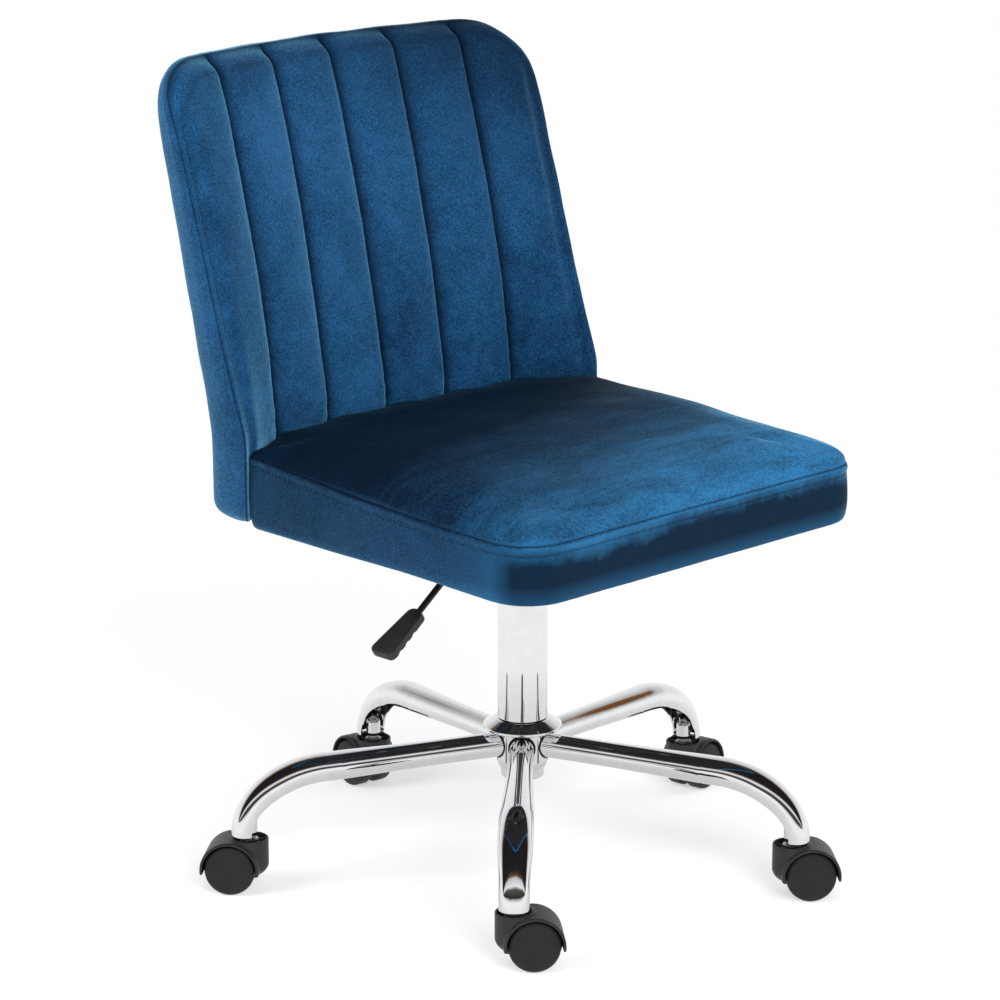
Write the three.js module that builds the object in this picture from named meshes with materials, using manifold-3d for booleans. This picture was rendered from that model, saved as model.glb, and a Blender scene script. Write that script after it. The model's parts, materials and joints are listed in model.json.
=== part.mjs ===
// Swivel office chair with a height-adjustable seat, in millimetres, +Z up, the sitter facing -Y.
// The gas-lift column stands on the Z axis of the inner group and the casters stand on z = 0; the exported
// group then moves everything so that the origin is under the middle of the whole chair.
import * as THREE from "three";
import { mergeVertices } from "three/addons/utils/BufferGeometryUtils.js";
import Module from "manifold-3d";

const wasm = await Module();
wasm.setup();

// ---------- Driving dimensions ----------
const GAP = 0.3; // clearance between pieces that touch

// Five-leg base
const LEG_COUNT = 5;
const LEG_TURN = THREE.MathUtils.degToRad(223.4); // heading of the first leg, the seat facing -Y
const CASTER_CIRCLE = 280.5; // caster stem axis to column axis
const LEG_STRAIGHT_END = 199.5; // radius where the leg starts to bend down
const LEG_ROOT_Z = 127.7; // centre of the leg at the hub
const LEG_BEND_Z = 121; // centre of the leg where the bend starts
const LEG_BEND_REACH = 85; // half axes of the elliptical bend
const LEG_BEND_DROP = 62;
const LEG_WALL = 1.8;
const LEG_OPEN_FROM = 188; // radius where the underside is cut open
const LEG_OPEN_CUT = 2.4; // height taken off the underside where the bend starts
const LEG_END_CUT = 11.6; // and at the end of the leg
const LEG_SIDES = 12;

// Hub
const HUB_R = 26;
const HUB_BOTTOM_Z = 104;
const HUB_TOP_Z = 155;
const COLLAR_R = 39.5;
const COLLAR_LOW_Z = 142.4;
const COLLAR_EDGE_LOW_Z = 145.6;
const COLLAR_EDGE_HIGH_Z = 147.8;
const COLLAR_TOP_R = 28;
const BORE_SLACK = 0.1; // added to a clearance where the facets of two pieces differ

// Caster
const WHEEL_R = 25;
const WHEEL_WIDTH = 16.6;
const WHEEL_SIDES = 18;
const WHEEL_FLAT_R = WHEEL_R / Math.cos(Math.PI / WHEEL_SIDES); // corners, so that each flat is at WHEEL_R
const TRAIL = 18; // swivel axis to axle
const WEB_HALF = 4.6; // half thickness of the web between the wheels
const HOOD_HALF = 22;
const FENDER_IN = 27;
const FENDER_OUT = 29.6;
const HOOD_COLLAR_R = 18.5;
const HOOD_TOP_Z = 55;
const AXLE_R = 3;
const STEM_R = 5.5;
const STEM_TAIL_R = 3.2; // thinner lower end, between the wheels
const STEM_STEP_Z = 48.6;
const STEM_TOP_Z = 78;
const STEM_BOTTOM_Z = 33.5;
const FLANGE_R = 8.5; // of the stem, inside the recess of the hood
const FLANGE_LOW_Z = 52.6;
const FLANGE_HIGH_Z = 54.4;
const SOCKET_TUBE_R = 7.6; // welded into the end of the leg
const SOCKET_TUBE_LOW_Z = 58.2;
const SOCKET_TUBE_HIGH_Z = 74;
// Heading of each caster's trailing side, following the legs round from the first one
const CASTER_HEADINGS = [-40, -40, 9, 81, 129].map(THREE.MathUtils.degToRad);

// Gas lift
const COLUMN_R = 25;
const COLUMN_BOTTOM_Z = 94;
const COLUMN_TOP_Z = 300;
const COLUMN_BORE_R = 23.4;
const SPIGOT_R = 21.4; // radius at the bottom of the tapered spigot in the hub
const SPIGOT_TOP_R = 22.6;
const PISTON_TUBE_R = 14;
const PISTON_TUBE_BOTTOM_Z = 106;
const PISTON_TUBE_TOP_Z = 340;
const GUIDE_LOW_Z = 216; // of the guide bushing in the column
const GUIDE_HIGH_Z = 299.4;
const ROD_LOW_Z = 90.5;
const PISTON_R = 11.4;
const PISTON_HIGH_Z = 228;
const CLIP_LOW_Z = 91.4;
const CLIP_R = 9;
const ROD_R = 5;
const BUTTON_R = 4;
const BUTTON_TOP_Z = 345;

// Mechanism
const PLATE_TOP_Z = 366.8;
const PLATE_THICK = 2.5;
const PLATE_X = 190;
const PLATE_Y = 160;
const BOLT_X = 75;
const BOLT_Y = 60;
const BOLT_R = 3;
const SOCKET_R = 19;
const SOCKET_BOTTOM_Z = 307;
const PIVOT_X = -28;
const PIVOT_Z = 347.6;
const PIN_R = 1.5;
const LEVER_R = 3.25;
const PADDLE_SLOPE = THREE.MathUtils.degToRad(33);
const PADDLE_LENGTH = 60;
const PADDLE_THICK = 9;
const PADDLE_NEAR_HALF = 9.5;
const PADDLE_FAR_R = 16;
const FINGER_GROOVES = [22, 34, 46]; // across the underside, from the rod's end

// Seat
const SEAT_HALF = 238;
const SEAT_FRONT = 241;
const SEAT_BOTTOM_Z = 367.3;
const SEAT_CORNER = 36;
const CORNER_STEPS = 5;
const SEAM_FRONT_Z = 417; // seam between the top panel and the side band
const SEAM_RISE = 25; // how much higher that seam is at the rear
const BRACKET_GAP = 7.4; // room for the brackets between the seat and the back
const SIDE_GAP = 2.4; // between the seat and the back, away from the brackets
const BOARD_THICK = 12;
const BOARD_INSET = 18;

// Back
const BACK_HALF = 245;
const BACK_BOTTOM_Z = 371;
const BACK_TOP_Z = 811;
const BACK_CORNER = 60;
const BACK_SKIN = 7; // thickness of the rear cover
const PANEL_THICK = 10;
const PANEL_INSET = 6;
const BENT_GAP = 1.2; // clearance between the bent faces of the back, whose facets differ
const BACK_COLUMNS = 16; // facets across each face of the back

// Brackets that join the back to the seat
const BRACKET_X = 88;
const BRACKET_HALF = 14;
const BRACKET_THICK = 3.4;
const BRACKET_WALL_Y = 188.9;
const BRACKET_FOOT_Y = 120;
const BRACKET_TOP_Z = 432;

// ---------- Materials ----------
const finish = (color, roughness, metalness) => new THREE.MeshStandardMaterial({ color, roughness, metalness });
const CHROME = finish(0xe6e8ea, 0.08, 1);
const STEEL = finish(0x9a9c9e, 0.35, 1);
const BLACK_STEEL = finish(0x1b1b1c, 0.5, 0.6);
const BLACK_PLASTIC = finish(0x1c1c1e, 0.55, 0);
const VELVET = finish(0x14507d, 0.85, 0);
const DUST_CLOTH = finish(0x141414, 0.95, 0);
const PLYWOOD = finish(0xb98d5b, 0.7, 0);

// ---------- Solid helpers ----------
function toSolid(geometry) {
  const bare = geometry.index ? geometry.toNonIndexed() : geometry.clone();
  bare.deleteAttribute("normal");
  bare.deleteAttribute("uv");
  const merged = mergeVertices(bare, 1e-4);
  const vertProperties = merged.attributes.position.array;
  const triVerts = new Uint32Array(merged.index.array);
  return new wasm.Manifold(new wasm.Mesh({ numProp: 3, vertProperties, triVerts }));
}

function toGeometry(solid) {
  const mesh = solid.getMesh();
  const geometry = new THREE.BufferGeometry();
  geometry.setAttribute("position", new THREE.BufferAttribute(mesh.vertProperties, 3));
  geometry.setIndex(new THREE.BufferAttribute(mesh.triVerts, 1));
  geometry.computeVertexNormals();
  return geometry;
}

function join(...geometries) {
  return toGeometry(geometries.map(toSolid).reduce((all, next) => all.add(next)));
}

function cut(geometry, ...cutters) {
  return toGeometry(cutters.map(toSolid).reduce((left, next) => left.subtract(next), toSolid(geometry)));
}

// A solid of revolution about Z from [radius, z] points, listed up the outside and down the inside.
function turned(profile, sides) {
  const points = profile.map(([r, z]) => new THREE.Vector2(r, z));
  return new THREE.LatheGeometry(points, sides).rotateX(Math.PI / 2);
}

// A ring-shaped solid of revolution: its profile closes on itself.
const turnedRing = (profile, sides) => turned([...profile, profile[0]], sides);

function cylinder(radius, bottomZ, topZ, sides) {
  const height = topZ - bottomZ;
  const geometry = new THREE.CylinderGeometry(radius, radius, height, sides);
  return geometry.rotateX(Math.PI / 2).translate(0, 0, bottomZ + height / 2);
}

function box(lowX, highX, lowY, highY, lowZ, highZ) {
  const geometry = new THREE.BoxGeometry(highX - lowX, highY - lowY, highZ - lowZ);
  return geometry.translate((lowX + highX) / 2, (lowY + highY) / 2, (lowZ + highZ) / 2);
}

// A flat shape drawn in X and Z, made solid from lowY to highY.
function sideExtrusion(shape, lowY, highY, curveSegments) {
  const geometry = new THREE.ExtrudeGeometry(shape, { depth: highY - lowY, bevelEnabled: false, curveSegments });
  return geometry.rotateX(Math.PI / 2).translate(0, highY, 0);
}

// A closed skin through rings of points, each ring running anticlockwise seen from the last ring's side.
// Each end is closed by a strip between the ring's two mirrored halves, so a crescent closes as well.
function loft(rings) {
  const count = rings[0].length;
  const last = (rings.length - 1) * count;
  const index = [];
  for (let start = 0; start < last; start += count) {
    for (let i = 0; i < count; i++) {
      const a = start + i;
      const b = start + ((i + 1) % count);
      index.push(a, b, b + count, a, b + count, a + count);
    }
  }
  for (let i = 0; i + 1 < count - 1 - i; i++) {
    const facing = count - 1 - i;
    index.push(last + i, last + i + 1, last + facing, facing, i + 1, i);
    if (i + 1 < facing - 1) {
      index.push(last + i + 1, last + facing - 1, last + facing, facing, facing - 1, i + 1);
    }
  }
  const geometry = new THREE.BufferGeometry();
  geometry.setAttribute("position", new THREE.Float32BufferAttribute(rings.flat().flatMap((p) => p.toArray()), 3));
  geometry.setIndex(index);
  return geometry;
}

function mesh(name, geometry, material) {
  const result = new THREE.Mesh(geometry, material);
  result.name = name;
  return result;
}

// ---------- Base ----------
function hubGeometry() {
  const boreR = SPIGOT_R + GAP + BORE_SLACK;
  const boreTopR = SPIGOT_TOP_R + GAP;
  const profile = [
    [boreR, HUB_BOTTOM_Z],
    [boreR + 1.2, HUB_BOTTOM_Z],
    [HUB_R, HUB_BOTTOM_Z + 7],
    [HUB_R, COLLAR_LOW_Z],
    [COLLAR_R - 4, COLLAR_LOW_Z + 1.2],
    [COLLAR_R, COLLAR_EDGE_LOW_Z],
    [COLLAR_R, COLLAR_EDGE_HIGH_Z],
    [COLLAR_TOP_R, HUB_TOP_Z - 0.6],
    [COLLAR_TOP_R - 1.4, HUB_TOP_Z],
    [boreTopR, HUB_TOP_Z],
  ];
  return turnedRing(profile, 24);
}

// The leg's centre line in the plane of radius and height: nearly level, then a quarter of an ellipse down.
function legCentre(t) {
  if (t < 0) {
    const radius = LEG_STRAIGHT_END + t;
    const slope = (LEG_ROOT_Z - LEG_BEND_Z) / (LEG_STRAIGHT_END - HUB_R);
    return { radius, z: LEG_BEND_Z - t * slope, tilt: -Math.atan(slope) };
  }
  const angle = (t * Math.PI) / 2;
  return {
    radius: LEG_STRAIGHT_END + LEG_BEND_REACH * Math.sin(angle),
    z: LEG_BEND_Z - LEG_BEND_DROP * (1 - Math.cos(angle)),
    tilt: -Math.atan2(LEG_BEND_DROP * Math.sin(angle), LEG_BEND_REACH * Math.cos(angle)),
  };
}

// Width and height of the leg's section: a round tube at the hub that grows flatter through the bend.
function legSection(radius) {
  const toBend = THREE.MathUtils.smoothstep(radius, 70, 238);
  const pastBend = THREE.MathUtils.smoothstep(radius, 248, 284);
  return { width: 25 + 9 * toBend - 4.4 * pastBend, height: 25 + 3.4 * toBend - 0.4 * pastBend };
}

// How much of the section's height is cut away from below, from the start of the bend to the end.
const openingCut = (t) => LEG_OPEN_CUT + (LEG_END_CUT - LEG_OPEN_CUT) * Math.max(t, 0) ** 1.2;

// One ring of the leg's skin: shrink moves it inwards, and openness pushes its lower half through the floor.
function legRing(t, shrink, openness) {
  const centre = legCentre(t);
  const section = legSection(centre.radius);
  const halfWidth = section.width / 2 - shrink;
  const halfHeight = section.height / 2 - shrink;
  const floor = -section.height / 2 + (t < 0 ? 1.9 : openingCut(t));
  const ring = [];
  for (let i = 0; i < LEG_SIDES; i++) {
    const angle = ((i + 0.5) / LEG_SIDES) * 2 * Math.PI;
    const side = Math.sign(Math.cos(angle)) * halfWidth * Math.abs(Math.cos(angle)) ** 0.85;
    let rise = Math.sign(Math.sin(angle)) * halfHeight * Math.abs(Math.sin(angle)) ** 0.85;
    if (openness > 0 && shrink === 0) rise = Math.max(rise, floor);
    if (openness > 0 && shrink > 0 && rise < 0) rise -= openness;
    const point = new THREE.Vector3(
      centre.radius - rise * Math.sin(centre.tilt),
      side,
      centre.z + rise * Math.cos(centre.tilt),
    );
    ring.push(point);
  }
  return ring;
}

function legGeometry() {
  const openT = LEG_OPEN_FROM - LEG_STRAIGHT_END;
  const straight = [HUB_R - LEG_STRAIGHT_END - 6, -100, -50];
  const bend = [0, 0.18, 0.34, 0.48, 0.62, 0.78, 1];
  const outer = [
    ...straight.map((t) => legRing(t, 0, 0)),
    legRing(openT, 0, 0),
    legRing(openT + 4, 0, 1),
    ...bend.map((t) => legRing(t, 0, 1)),
  ];
  const inner = [
    legRing(straight[0] - 2, LEG_WALL, 0),
    legRing(openT, LEG_WALL, 0),
    legRing(openT + 4, LEG_WALL, 4),
    ...bend.slice(0, -1).map((t) => legRing(t, LEG_WALL, 8)),
    legRing(1, LEG_WALL, 8),
    legRing(1, LEG_WALL, 8).map((p) => p.clone().setZ(p.z - 6)),
  ];
  const hubRoom = cylinder(HUB_R + GAP, HUB_BOTTOM_Z, HUB_TOP_Z, 40);
  return cut(loft(outer), loft(inner), hubRoom);
}

function stemSocketGeometry() {
  const bottom = SOCKET_TUBE_LOW_Z;
  const top = SOCKET_TUBE_HIGH_Z;
  const bore = STEM_R + GAP;
  const outer = SOCKET_TUBE_R;
  return turnedRing([[bore, bottom], [outer, bottom], [outer, top - 1], [outer - 0.8, top], [bore, top]], 12);
}

// ---------- Casters ----------
function hoodGeometry() {
  const rearTip = THREE.MathUtils.degToRad(-8);
  const frontTip = THREE.MathUtils.degToRad(188);
  const fender = new THREE.Shape();
  fender.absarc(TRAIL, WHEEL_R, FENDER_OUT, rearTip, frontTip, false);
  fender.absarc(TRAIL, WHEEL_R, FENDER_IN, frontTip, rearTip, true);
  const web = new THREE.Shape();
  web.absarc(TRAIL, WHEEL_R, FENDER_IN + 1, THREE.MathUtils.degToRad(-24), THREE.MathUtils.degToRad(204), false);
  const collar = turned([[0, 24], [13, 24], [HOOD_COLLAR_R, 46], [HOOD_COLLAR_R, HOOD_TOP_Z], [0, HOOD_TOP_Z]], 16);
  const wheelRooms = [WEB_HALF, -HOOD_HALF - 4].map((lowY) => {
    const room = cylinder(FENDER_IN + 0.5, lowY, lowY + HOOD_HALF + 4 - WEB_HALF, 20);
    return room.rotateX(-Math.PI / 2).translate(TRAIL, 0, WHEEL_R);
  });
  const body = join(
    sideExtrusion(fender, -HOOD_HALF, HOOD_HALF, 9),
    cut(collar, ...wheelRooms),
    sideExtrusion(web, -WEB_HALF, WEB_HALF, 9),
  );
  const recess = cylinder(HOOD_COLLAR_R - 2, HOOD_TOP_Z - 3, HOOD_TOP_Z + 1, 12);
  const stemBore = cylinder(STEM_R + GAP + 0.1, STEM_STEP_Z - GAP, HOOD_TOP_Z, 10);
  const tailBore = cylinder(STEM_TAIL_R + GAP, STEM_BOTTOM_Z - 0.5, STEM_STEP_Z, 8);
  const axleBore = cylinder(AXLE_R + GAP, -HOOD_HALF, HOOD_HALF, 8).rotateX(Math.PI / 2);
  return cut(body, recess, stemBore, tailBore, axleBore.translate(TRAIL, 0, WHEEL_R));
}

function stemGeometry() {
  const profile = [
    [0, STEM_BOTTOM_Z],
    [STEM_TAIL_R, STEM_BOTTOM_Z],
    [STEM_TAIL_R, STEM_STEP_Z],
    [STEM_R, STEM_STEP_Z],
    [STEM_R, FLANGE_LOW_Z],
    [FLANGE_R, FLANGE_LOW_Z],
    [FLANGE_R, FLANGE_HIGH_Z],
    [STEM_R, FLANGE_HIGH_Z],
    [STEM_R, STEM_TOP_Z - 4],
    [4, STEM_TOP_Z - 1],
    [0, STEM_TOP_Z],
  ];
  return turned(profile, 10);
}

function axleGeometry() {
  const half = WEB_HALF + WHEEL_WIDTH - 5;
  return cylinder(AXLE_R, -half, half, 8).rotateX(Math.PI / 2);
}

// One wheel with its inner face on y = 0 and its outer face towards +Y, standing on a flat of its tread.
function wheelGeometry() {
  const bore = AXLE_R + GAP;
  const boreEnd = WHEEL_WIDTH - 4;
  const profile = [
    [0, boreEnd],
    [bore, boreEnd],
    [bore, 0],
    [WHEEL_FLAT_R - 2, 0],
    [WHEEL_FLAT_R, 2],
    [WHEEL_FLAT_R, WHEEL_WIDTH - 4],
    [WHEEL_FLAT_R - 4, WHEEL_WIDTH - 0.5],
    [0, WHEEL_WIDTH],
  ];
  return turned(profile, WHEEL_SIDES).rotateZ(Math.PI / WHEEL_SIDES).rotateX(-Math.PI / 2);
}

function casterGroup(number, heading) {
  const caster = new THREE.Group();
  caster.rotation.z = heading;
  const axle = mesh("caster_axle_" + number, axleGeometry(), STEEL);
  axle.position.set(TRAIL, 0, WHEEL_R);
  const left = mesh("caster_wheel_" + number + "_left", wheelGeometry(), BLACK_PLASTIC);
  left.position.set(TRAIL, WEB_HALF + GAP, WHEEL_R);
  const right = mesh("caster_wheel_" + number + "_right", wheelGeometry(), BLACK_PLASTIC);
  right.position.set(TRAIL, -WEB_HALF - GAP, WHEEL_R);
  right.rotation.z = Math.PI;
  caster.add(mesh("caster_hood_" + number, hoodGeometry(), BLACK_PLASTIC), axle, left, right);
  return caster;
}

function legGroup(number) {
  const heading = LEG_TURN + ((number - 1) * 2 * Math.PI) / LEG_COUNT;
  const arm = new THREE.Group();
  arm.rotation.z = heading;
  const socket = mesh("stem_socket_" + number, stemSocketGeometry(), CHROME);
  const stem = mesh("caster_stem_" + number, stemGeometry(), STEEL);
  const caster = casterGroup(number, CASTER_HEADINGS[number - 1] - heading);
  for (const piece of [socket, stem, caster]) {
    piece.position.x = CASTER_CIRCLE;
  }
  arm.add(mesh("leg_" + number, legGeometry(), CHROME), socket, stem, caster);
  return arm;
}

// ---------- Gas lift ----------
function columnGeometry() {
  const profile = [
    [7, COLUMN_BOTTOM_Z],
    [SPIGOT_R, COLUMN_BOTTOM_Z],
    [SPIGOT_TOP_R, HUB_TOP_Z + GAP],
    [COLUMN_R, HUB_TOP_Z + GAP],
    [COLUMN_R, COLUMN_TOP_Z],
    [COLUMN_BORE_R, COLUMN_TOP_Z],
    [COLUMN_BORE_R, HUB_TOP_Z + 4],
    [SPIGOT_R - 2, HUB_TOP_Z - 2],
    [SPIGOT_R - 2, COLUMN_BOTTOM_Z + 3],
    [7, COLUMN_BOTTOM_Z + 3],
  ];
  return turnedRing(profile, 24);
}

function guideBushingGeometry() {
  const outer = COLUMN_BORE_R - GAP - 0.2;
  const bore = PISTON_TUBE_R + GAP;
  const profile = [[bore, GUIDE_LOW_Z], [outer, GUIDE_LOW_Z], [outer, GUIDE_HIGH_Z], [bore, GUIDE_HIGH_Z]];
  return turnedRing(profile, 20);
}

function thrustBearingGeometry() {
  const low = COLUMN_BOTTOM_Z + 3 + GAP;
  return turnedRing([[ROD_R + GAP, low], [15, low], [15, low + 4.5], [ROD_R + GAP, low + 4.5]], 16);
}

function pistonRodGeometry() {
  const shoulder = COLUMN_BOTTOM_Z + 8.2;
  const profile = [
    [0, ROD_LOW_Z],
    [ROD_R, ROD_LOW_Z],
    [ROD_R, shoulder],
    [CLIP_R, shoulder],
    [CLIP_R, shoulder + 3],
    [ROD_R, shoulder + 3],
    [ROD_R, PISTON_HIGH_Z - 12],
    [PISTON_R, PISTON_HIGH_Z - 12],
    [PISTON_R, PISTON_HIGH_Z],
    [0, PISTON_HIGH_Z],
  ];
  return turned(profile, 12);
}

function retainingClipGeometry() {
  const bore = ROD_R + GAP;
  const high = CLIP_LOW_Z + 2;
  return turnedRing([[bore, CLIP_LOW_Z], [CLIP_R, CLIP_LOW_Z], [CLIP_R, high], [bore, high]], 14);
}

function pressureTubeGeometry() {
  const bore = PISTON_TUBE_R - 2;
  const profile = [
    [ROD_R + GAP, PISTON_TUBE_BOTTOM_Z],
    [PISTON_TUBE_R, PISTON_TUBE_BOTTOM_Z],
    [PISTON_TUBE_R, SOCKET_BOTTOM_Z],
    [PISTON_TUBE_R - 0.6, PISTON_TUBE_TOP_Z],
    [BUTTON_R + GAP, PISTON_TUBE_TOP_Z],
    [BUTTON_R + GAP, 304],
    [bore, 300],
    [bore, PISTON_TUBE_BOTTOM_Z + 7],
    [ROD_R + GAP, PISTON_TUBE_BOTTOM_Z + 7],
  ];
  return turnedRing(profile, 20);
}

function releaseButtonGeometry() {
  const top = BUTTON_TOP_Z;
  return turned([[0, 314], [BUTTON_R, 314], [BUTTON_R, top - 2], [2.4, top - 0.6], [0, top]], 12);
}

// ---------- Mechanism under the seat ----------
function roundedRectangle(halfX, halfY, corner) {
  const shape = new THREE.Shape();
  shape.absarc(halfX - corner, halfY - corner, corner, 0, Math.PI / 2);
  shape.absarc(corner - halfX, halfY - corner, corner, Math.PI / 2, Math.PI);
  shape.absarc(corner - halfX, corner - halfY, corner, Math.PI, 1.5 * Math.PI);
  shape.absarc(halfX - corner, corner - halfY, corner, 1.5 * Math.PI, 2 * Math.PI);
  return shape;
}

function upright(shape, bottomZ, topZ, curveSegments = 4) {
  const settings = { depth: topZ - bottomZ, bevelEnabled: false, curveSegments };
  return new THREE.ExtrudeGeometry(shape, settings).translate(0, 0, bottomZ);
}

function boltPlaces() {
  return [[1, 1], [-1, 1], [-1, -1], [1, -1]].map(([sx, sy]) => [sx * BOLT_X, sy * BOLT_Y]);
}

function boltHoles(bottomZ, topZ) {
  return boltPlaces().map(([x, y]) => cylinder(BOLT_R + GAP, bottomZ, topZ, 8).translate(x, y, 0));
}

// Pressed plate with a lip folded down along its two long sides.
function plateGeometry() {
  const low = PLATE_TOP_Z - PLATE_THICK;
  const sheet = upright(roundedRectangle(PLATE_X / 2, PLATE_Y / 2, 14), low, PLATE_TOP_Z);
  const lips = [-1, 1].map((side) => {
    const y = side * (PLATE_Y / 2 - 1.25);
    return box(-PLATE_X / 2 + 16, PLATE_X / 2 - 16, y - 1.25, y + 1.25, low - 8, low + 1);
  });
  return cut(join(sheet, ...lips), ...boltHoles(low - 1, PLATE_TOP_Z + 1));
}

// Tapered socket with two ears for the lever's pin on its -X side and a slot between them.
function taperSocketGeometry() {
  const top = PLATE_TOP_Z - PLATE_THICK - GAP;
  const tube = cylinder(SOCKET_R, SOCKET_BOTTOM_Z, top, 24);
  const ears = [-1, 1].map((side) => box(PIVOT_X - 6, -15, side * 6.5 - 1.5, side * 6.5 + 1.5, 338, top));
  const taperR = PISTON_TUBE_R + GAP;
  const taperTop = PISTON_TUBE_TOP_Z + 1;
  const below = SOCKET_BOTTOM_Z - 7;
  const profile = [[0, below], [taperR, below], [taperR, SOCKET_BOTTOM_Z], [taperR - 0.6, taperTop], [0, taperTop]];
  const taper = turned(profile, 20);
  const leverRoom = cylinder(15, taperTop - 0.2, top + 1, 16);
  const slot = box(-40, 0, -5, 5, taperTop, top + 1);
  const pinHole = cylinder(PIN_R + GAP, -12, 12, 12).rotateX(Math.PI / 2).translate(PIVOT_X, 0, PIVOT_Z);
  return cut(join(tube, ...ears), taper, leverRoom, slot, pinHole);
}

const pivotPinGeometry = () => cylinder(PIN_R, -9.5, 9.5, 10).rotateX(Math.PI / 2);

function boltGeometry() {
  const low = PLATE_TOP_Z - PLATE_THICK - GAP;
  const head = cylinder(6.5, low - 4, low, 6);
  return join(head, cylinder(BOLT_R, low - 1, PLATE_TOP_Z + BOARD_THICK, 8));
}

// Where the lever's rod runs into the paddle, relative to the pivot.
const PADDLE_START = new THREE.Vector3(-143 - PIVOT_X, 0, 293 - PIVOT_Z);
const PADDLE_HEADING = new THREE.Vector3(-Math.cos(PADDLE_SLOPE), 0, -Math.sin(PADDLE_SLOPE));

// The lever turns about its pivot, which is the origin here: a flattened tongue over the button, an eye for
// the pin and a round rod that bends down to the paddle.
function leverRodGeometry() {
  const rodStart = new THREE.Vector3(-3, 0, 0);
  const bendStart = new THREE.Vector3(-36, 0, -1);
  const bendEnd = new THREE.Vector3(-54, 0, -9);
  const rodEnd = PADDLE_START.clone().addScaledVector(PADDLE_HEADING, 30);
  const path = new THREE.CurvePath();
  path.add(new THREE.LineCurve3(rodStart, bendStart));
  path.add(new THREE.QuadraticBezierCurve3(bendStart, new THREE.Vector3(-45.5, 0, -1.6), bendEnd));
  path.add(new THREE.LineCurve3(bendEnd, PADDLE_START));
  path.add(new THREE.LineCurve3(PADDLE_START, rodEnd));
  const section = new THREE.Shape().absarc(0, 0, LEVER_R, 0, 2 * Math.PI);
  const rod = new THREE.ExtrudeGeometry(section, { steps: 12, curveSegments: 4, extrudePath: path });
  const tongueLow = BUTTON_TOP_Z + GAP + 0.1 - PIVOT_Z;
  const tongue = box(-4, -PIVOT_X + 6, -3.6, 3.6, tongueLow, tongueLow + 4);
  const eye = cylinder(4.6, -3.6, 3.6, 16).rotateX(Math.PI / 2);
  const pinHole = cylinder(PIN_R + GAP, -5, 5, 12).rotateX(Math.PI / 2);
  return cut(join(rod, tongue, eye), pinHole);
}

// Moulded paddle along +X from the rod's end, narrow at the rod and wide and round at the far end, with
// three finger grooves across the underside.
function leverPaddleGeometry() {
  const nearHalf = PADDLE_NEAR_HALF;
  const farR = PADDLE_FAR_R;
  const outline = new THREE.Shape();
  outline.moveTo(0, -nearHalf + 3);
  outline.lineTo(3, -nearHalf);
  outline.lineTo(PADDLE_LENGTH - farR - 6, -farR);
  outline.absarc(PADDLE_LENGTH - farR, 0, farR, -Math.PI / 2 - 0.2, Math.PI / 2 + 0.2);
  outline.lineTo(3, nearHalf);
  outline.lineTo(0, nearHalf - 3);
  const bevel = { bevelEnabled: true, bevelThickness: 1.2, bevelSize: 1.2, bevelSegments: 1, bevelOffset: -1.2 };
  const settings = { depth: PADDLE_THICK - 2.4, curveSegments: 8, ...bevel };
  const slab = new THREE.ExtrudeGeometry(outline, settings).translate(0, 0, -PADDLE_THICK / 2 + 1.2);
  const grooves = FINGER_GROOVES.map((x) => {
    return cylinder(4, -farR - 2, farR + 2, 10).rotateX(Math.PI / 2).translate(x, 0, -PADDLE_THICK / 2 - 2.2);
  });
  const bore = cylinder(LEVER_R + GAP, -2, 31, 12).rotateY(Math.PI / 2);
  return cut(slab, ...grooves, bore);
}

// ---------- Back surfaces, shared by the seat's rear edge ----------
// Front face of the back: upright behind the seat, leaning further back towards the top, wings forward.
function backFront(x, z) {
  const above = Math.max(z - 460, 0);
  const centre = 196 + 0.1556 * above + 0.000243 * above * above;
  const wing = 36 + 30 * Math.exp(-above / 120);
  const power = 1.6 + 2 * Math.exp(-above / 110);
  return centre - wing * (Math.abs(x) / BACK_HALF) ** power;
}

function backRear(x, z) {
  const above = Math.max(z - 455, 0);
  return 235 + 0.238 * above - 43 * (x / BACK_HALF) ** 2;
}

// ---------- Seat ----------
// Clearance behind the seat: wide where the brackets stand and narrow to each side of them.
function seatBackGap(x) {
  const beside = THREE.MathUtils.smoothstep(Math.abs(x), BRACKET_X + 20, BRACKET_X + 62);
  return BRACKET_GAP + (SIDE_GAP - BRACKET_GAP) * beside;
}

function seatOutline(inset) {
  const half = SEAT_HALF - inset;
  const front = -SEAT_FRONT + inset;
  const corner = Math.max(SEAT_CORNER - inset, 8);
  const points = [];
  for (let i = 0; i <= CORNER_STEPS; i++) {
    const angle = -Math.PI / 2 + (i / CORNER_STEPS) * (Math.PI / 2);
    points.push([half - corner + corner * Math.cos(angle), front + corner + corner * Math.sin(angle)]);
  }
  points.push([half, -90], [half, 20]);
  const rearSteps = 14;
  for (let i = 0; i <= rearSteps; i++) {
    const x = half * Math.cos((i / rearSteps) * Math.PI);
    points.push([x, backFront(x, 440) - seatBackGap(x) - inset]);
  }
  points.push([-half, 20], [-half, -90]);
  for (let i = 0; i <= CORNER_STEPS; i++) {
    const angle = Math.PI + (i / CORNER_STEPS) * (Math.PI / 2);
    points.push([corner - half + corner * Math.cos(angle), front + corner + corner * Math.sin(angle)]);
  }
  return points;
}

const seatShape = (inset) => new THREE.Shape(seatOutline(inset).map(([x, y]) => new THREE.Vector2(x, y)));

// 0 at the front edge of the seat and 1 at the rear corners.
const alongSeat = (y) => THREE.MathUtils.clamp((y + SEAT_FRONT) / 372, 0, 1);
const seamHeight = (y) => SEAM_FRONT_Z + SEAM_RISE * alongSeat(y) ** 1.5;
// The crown is full over the front half of the seat and flatter towards the back.
const crownShare = (y) => 1 - 0.65 * THREE.MathUtils.smoothstep(alongSeat(y), 0.5, 1.05);

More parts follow.
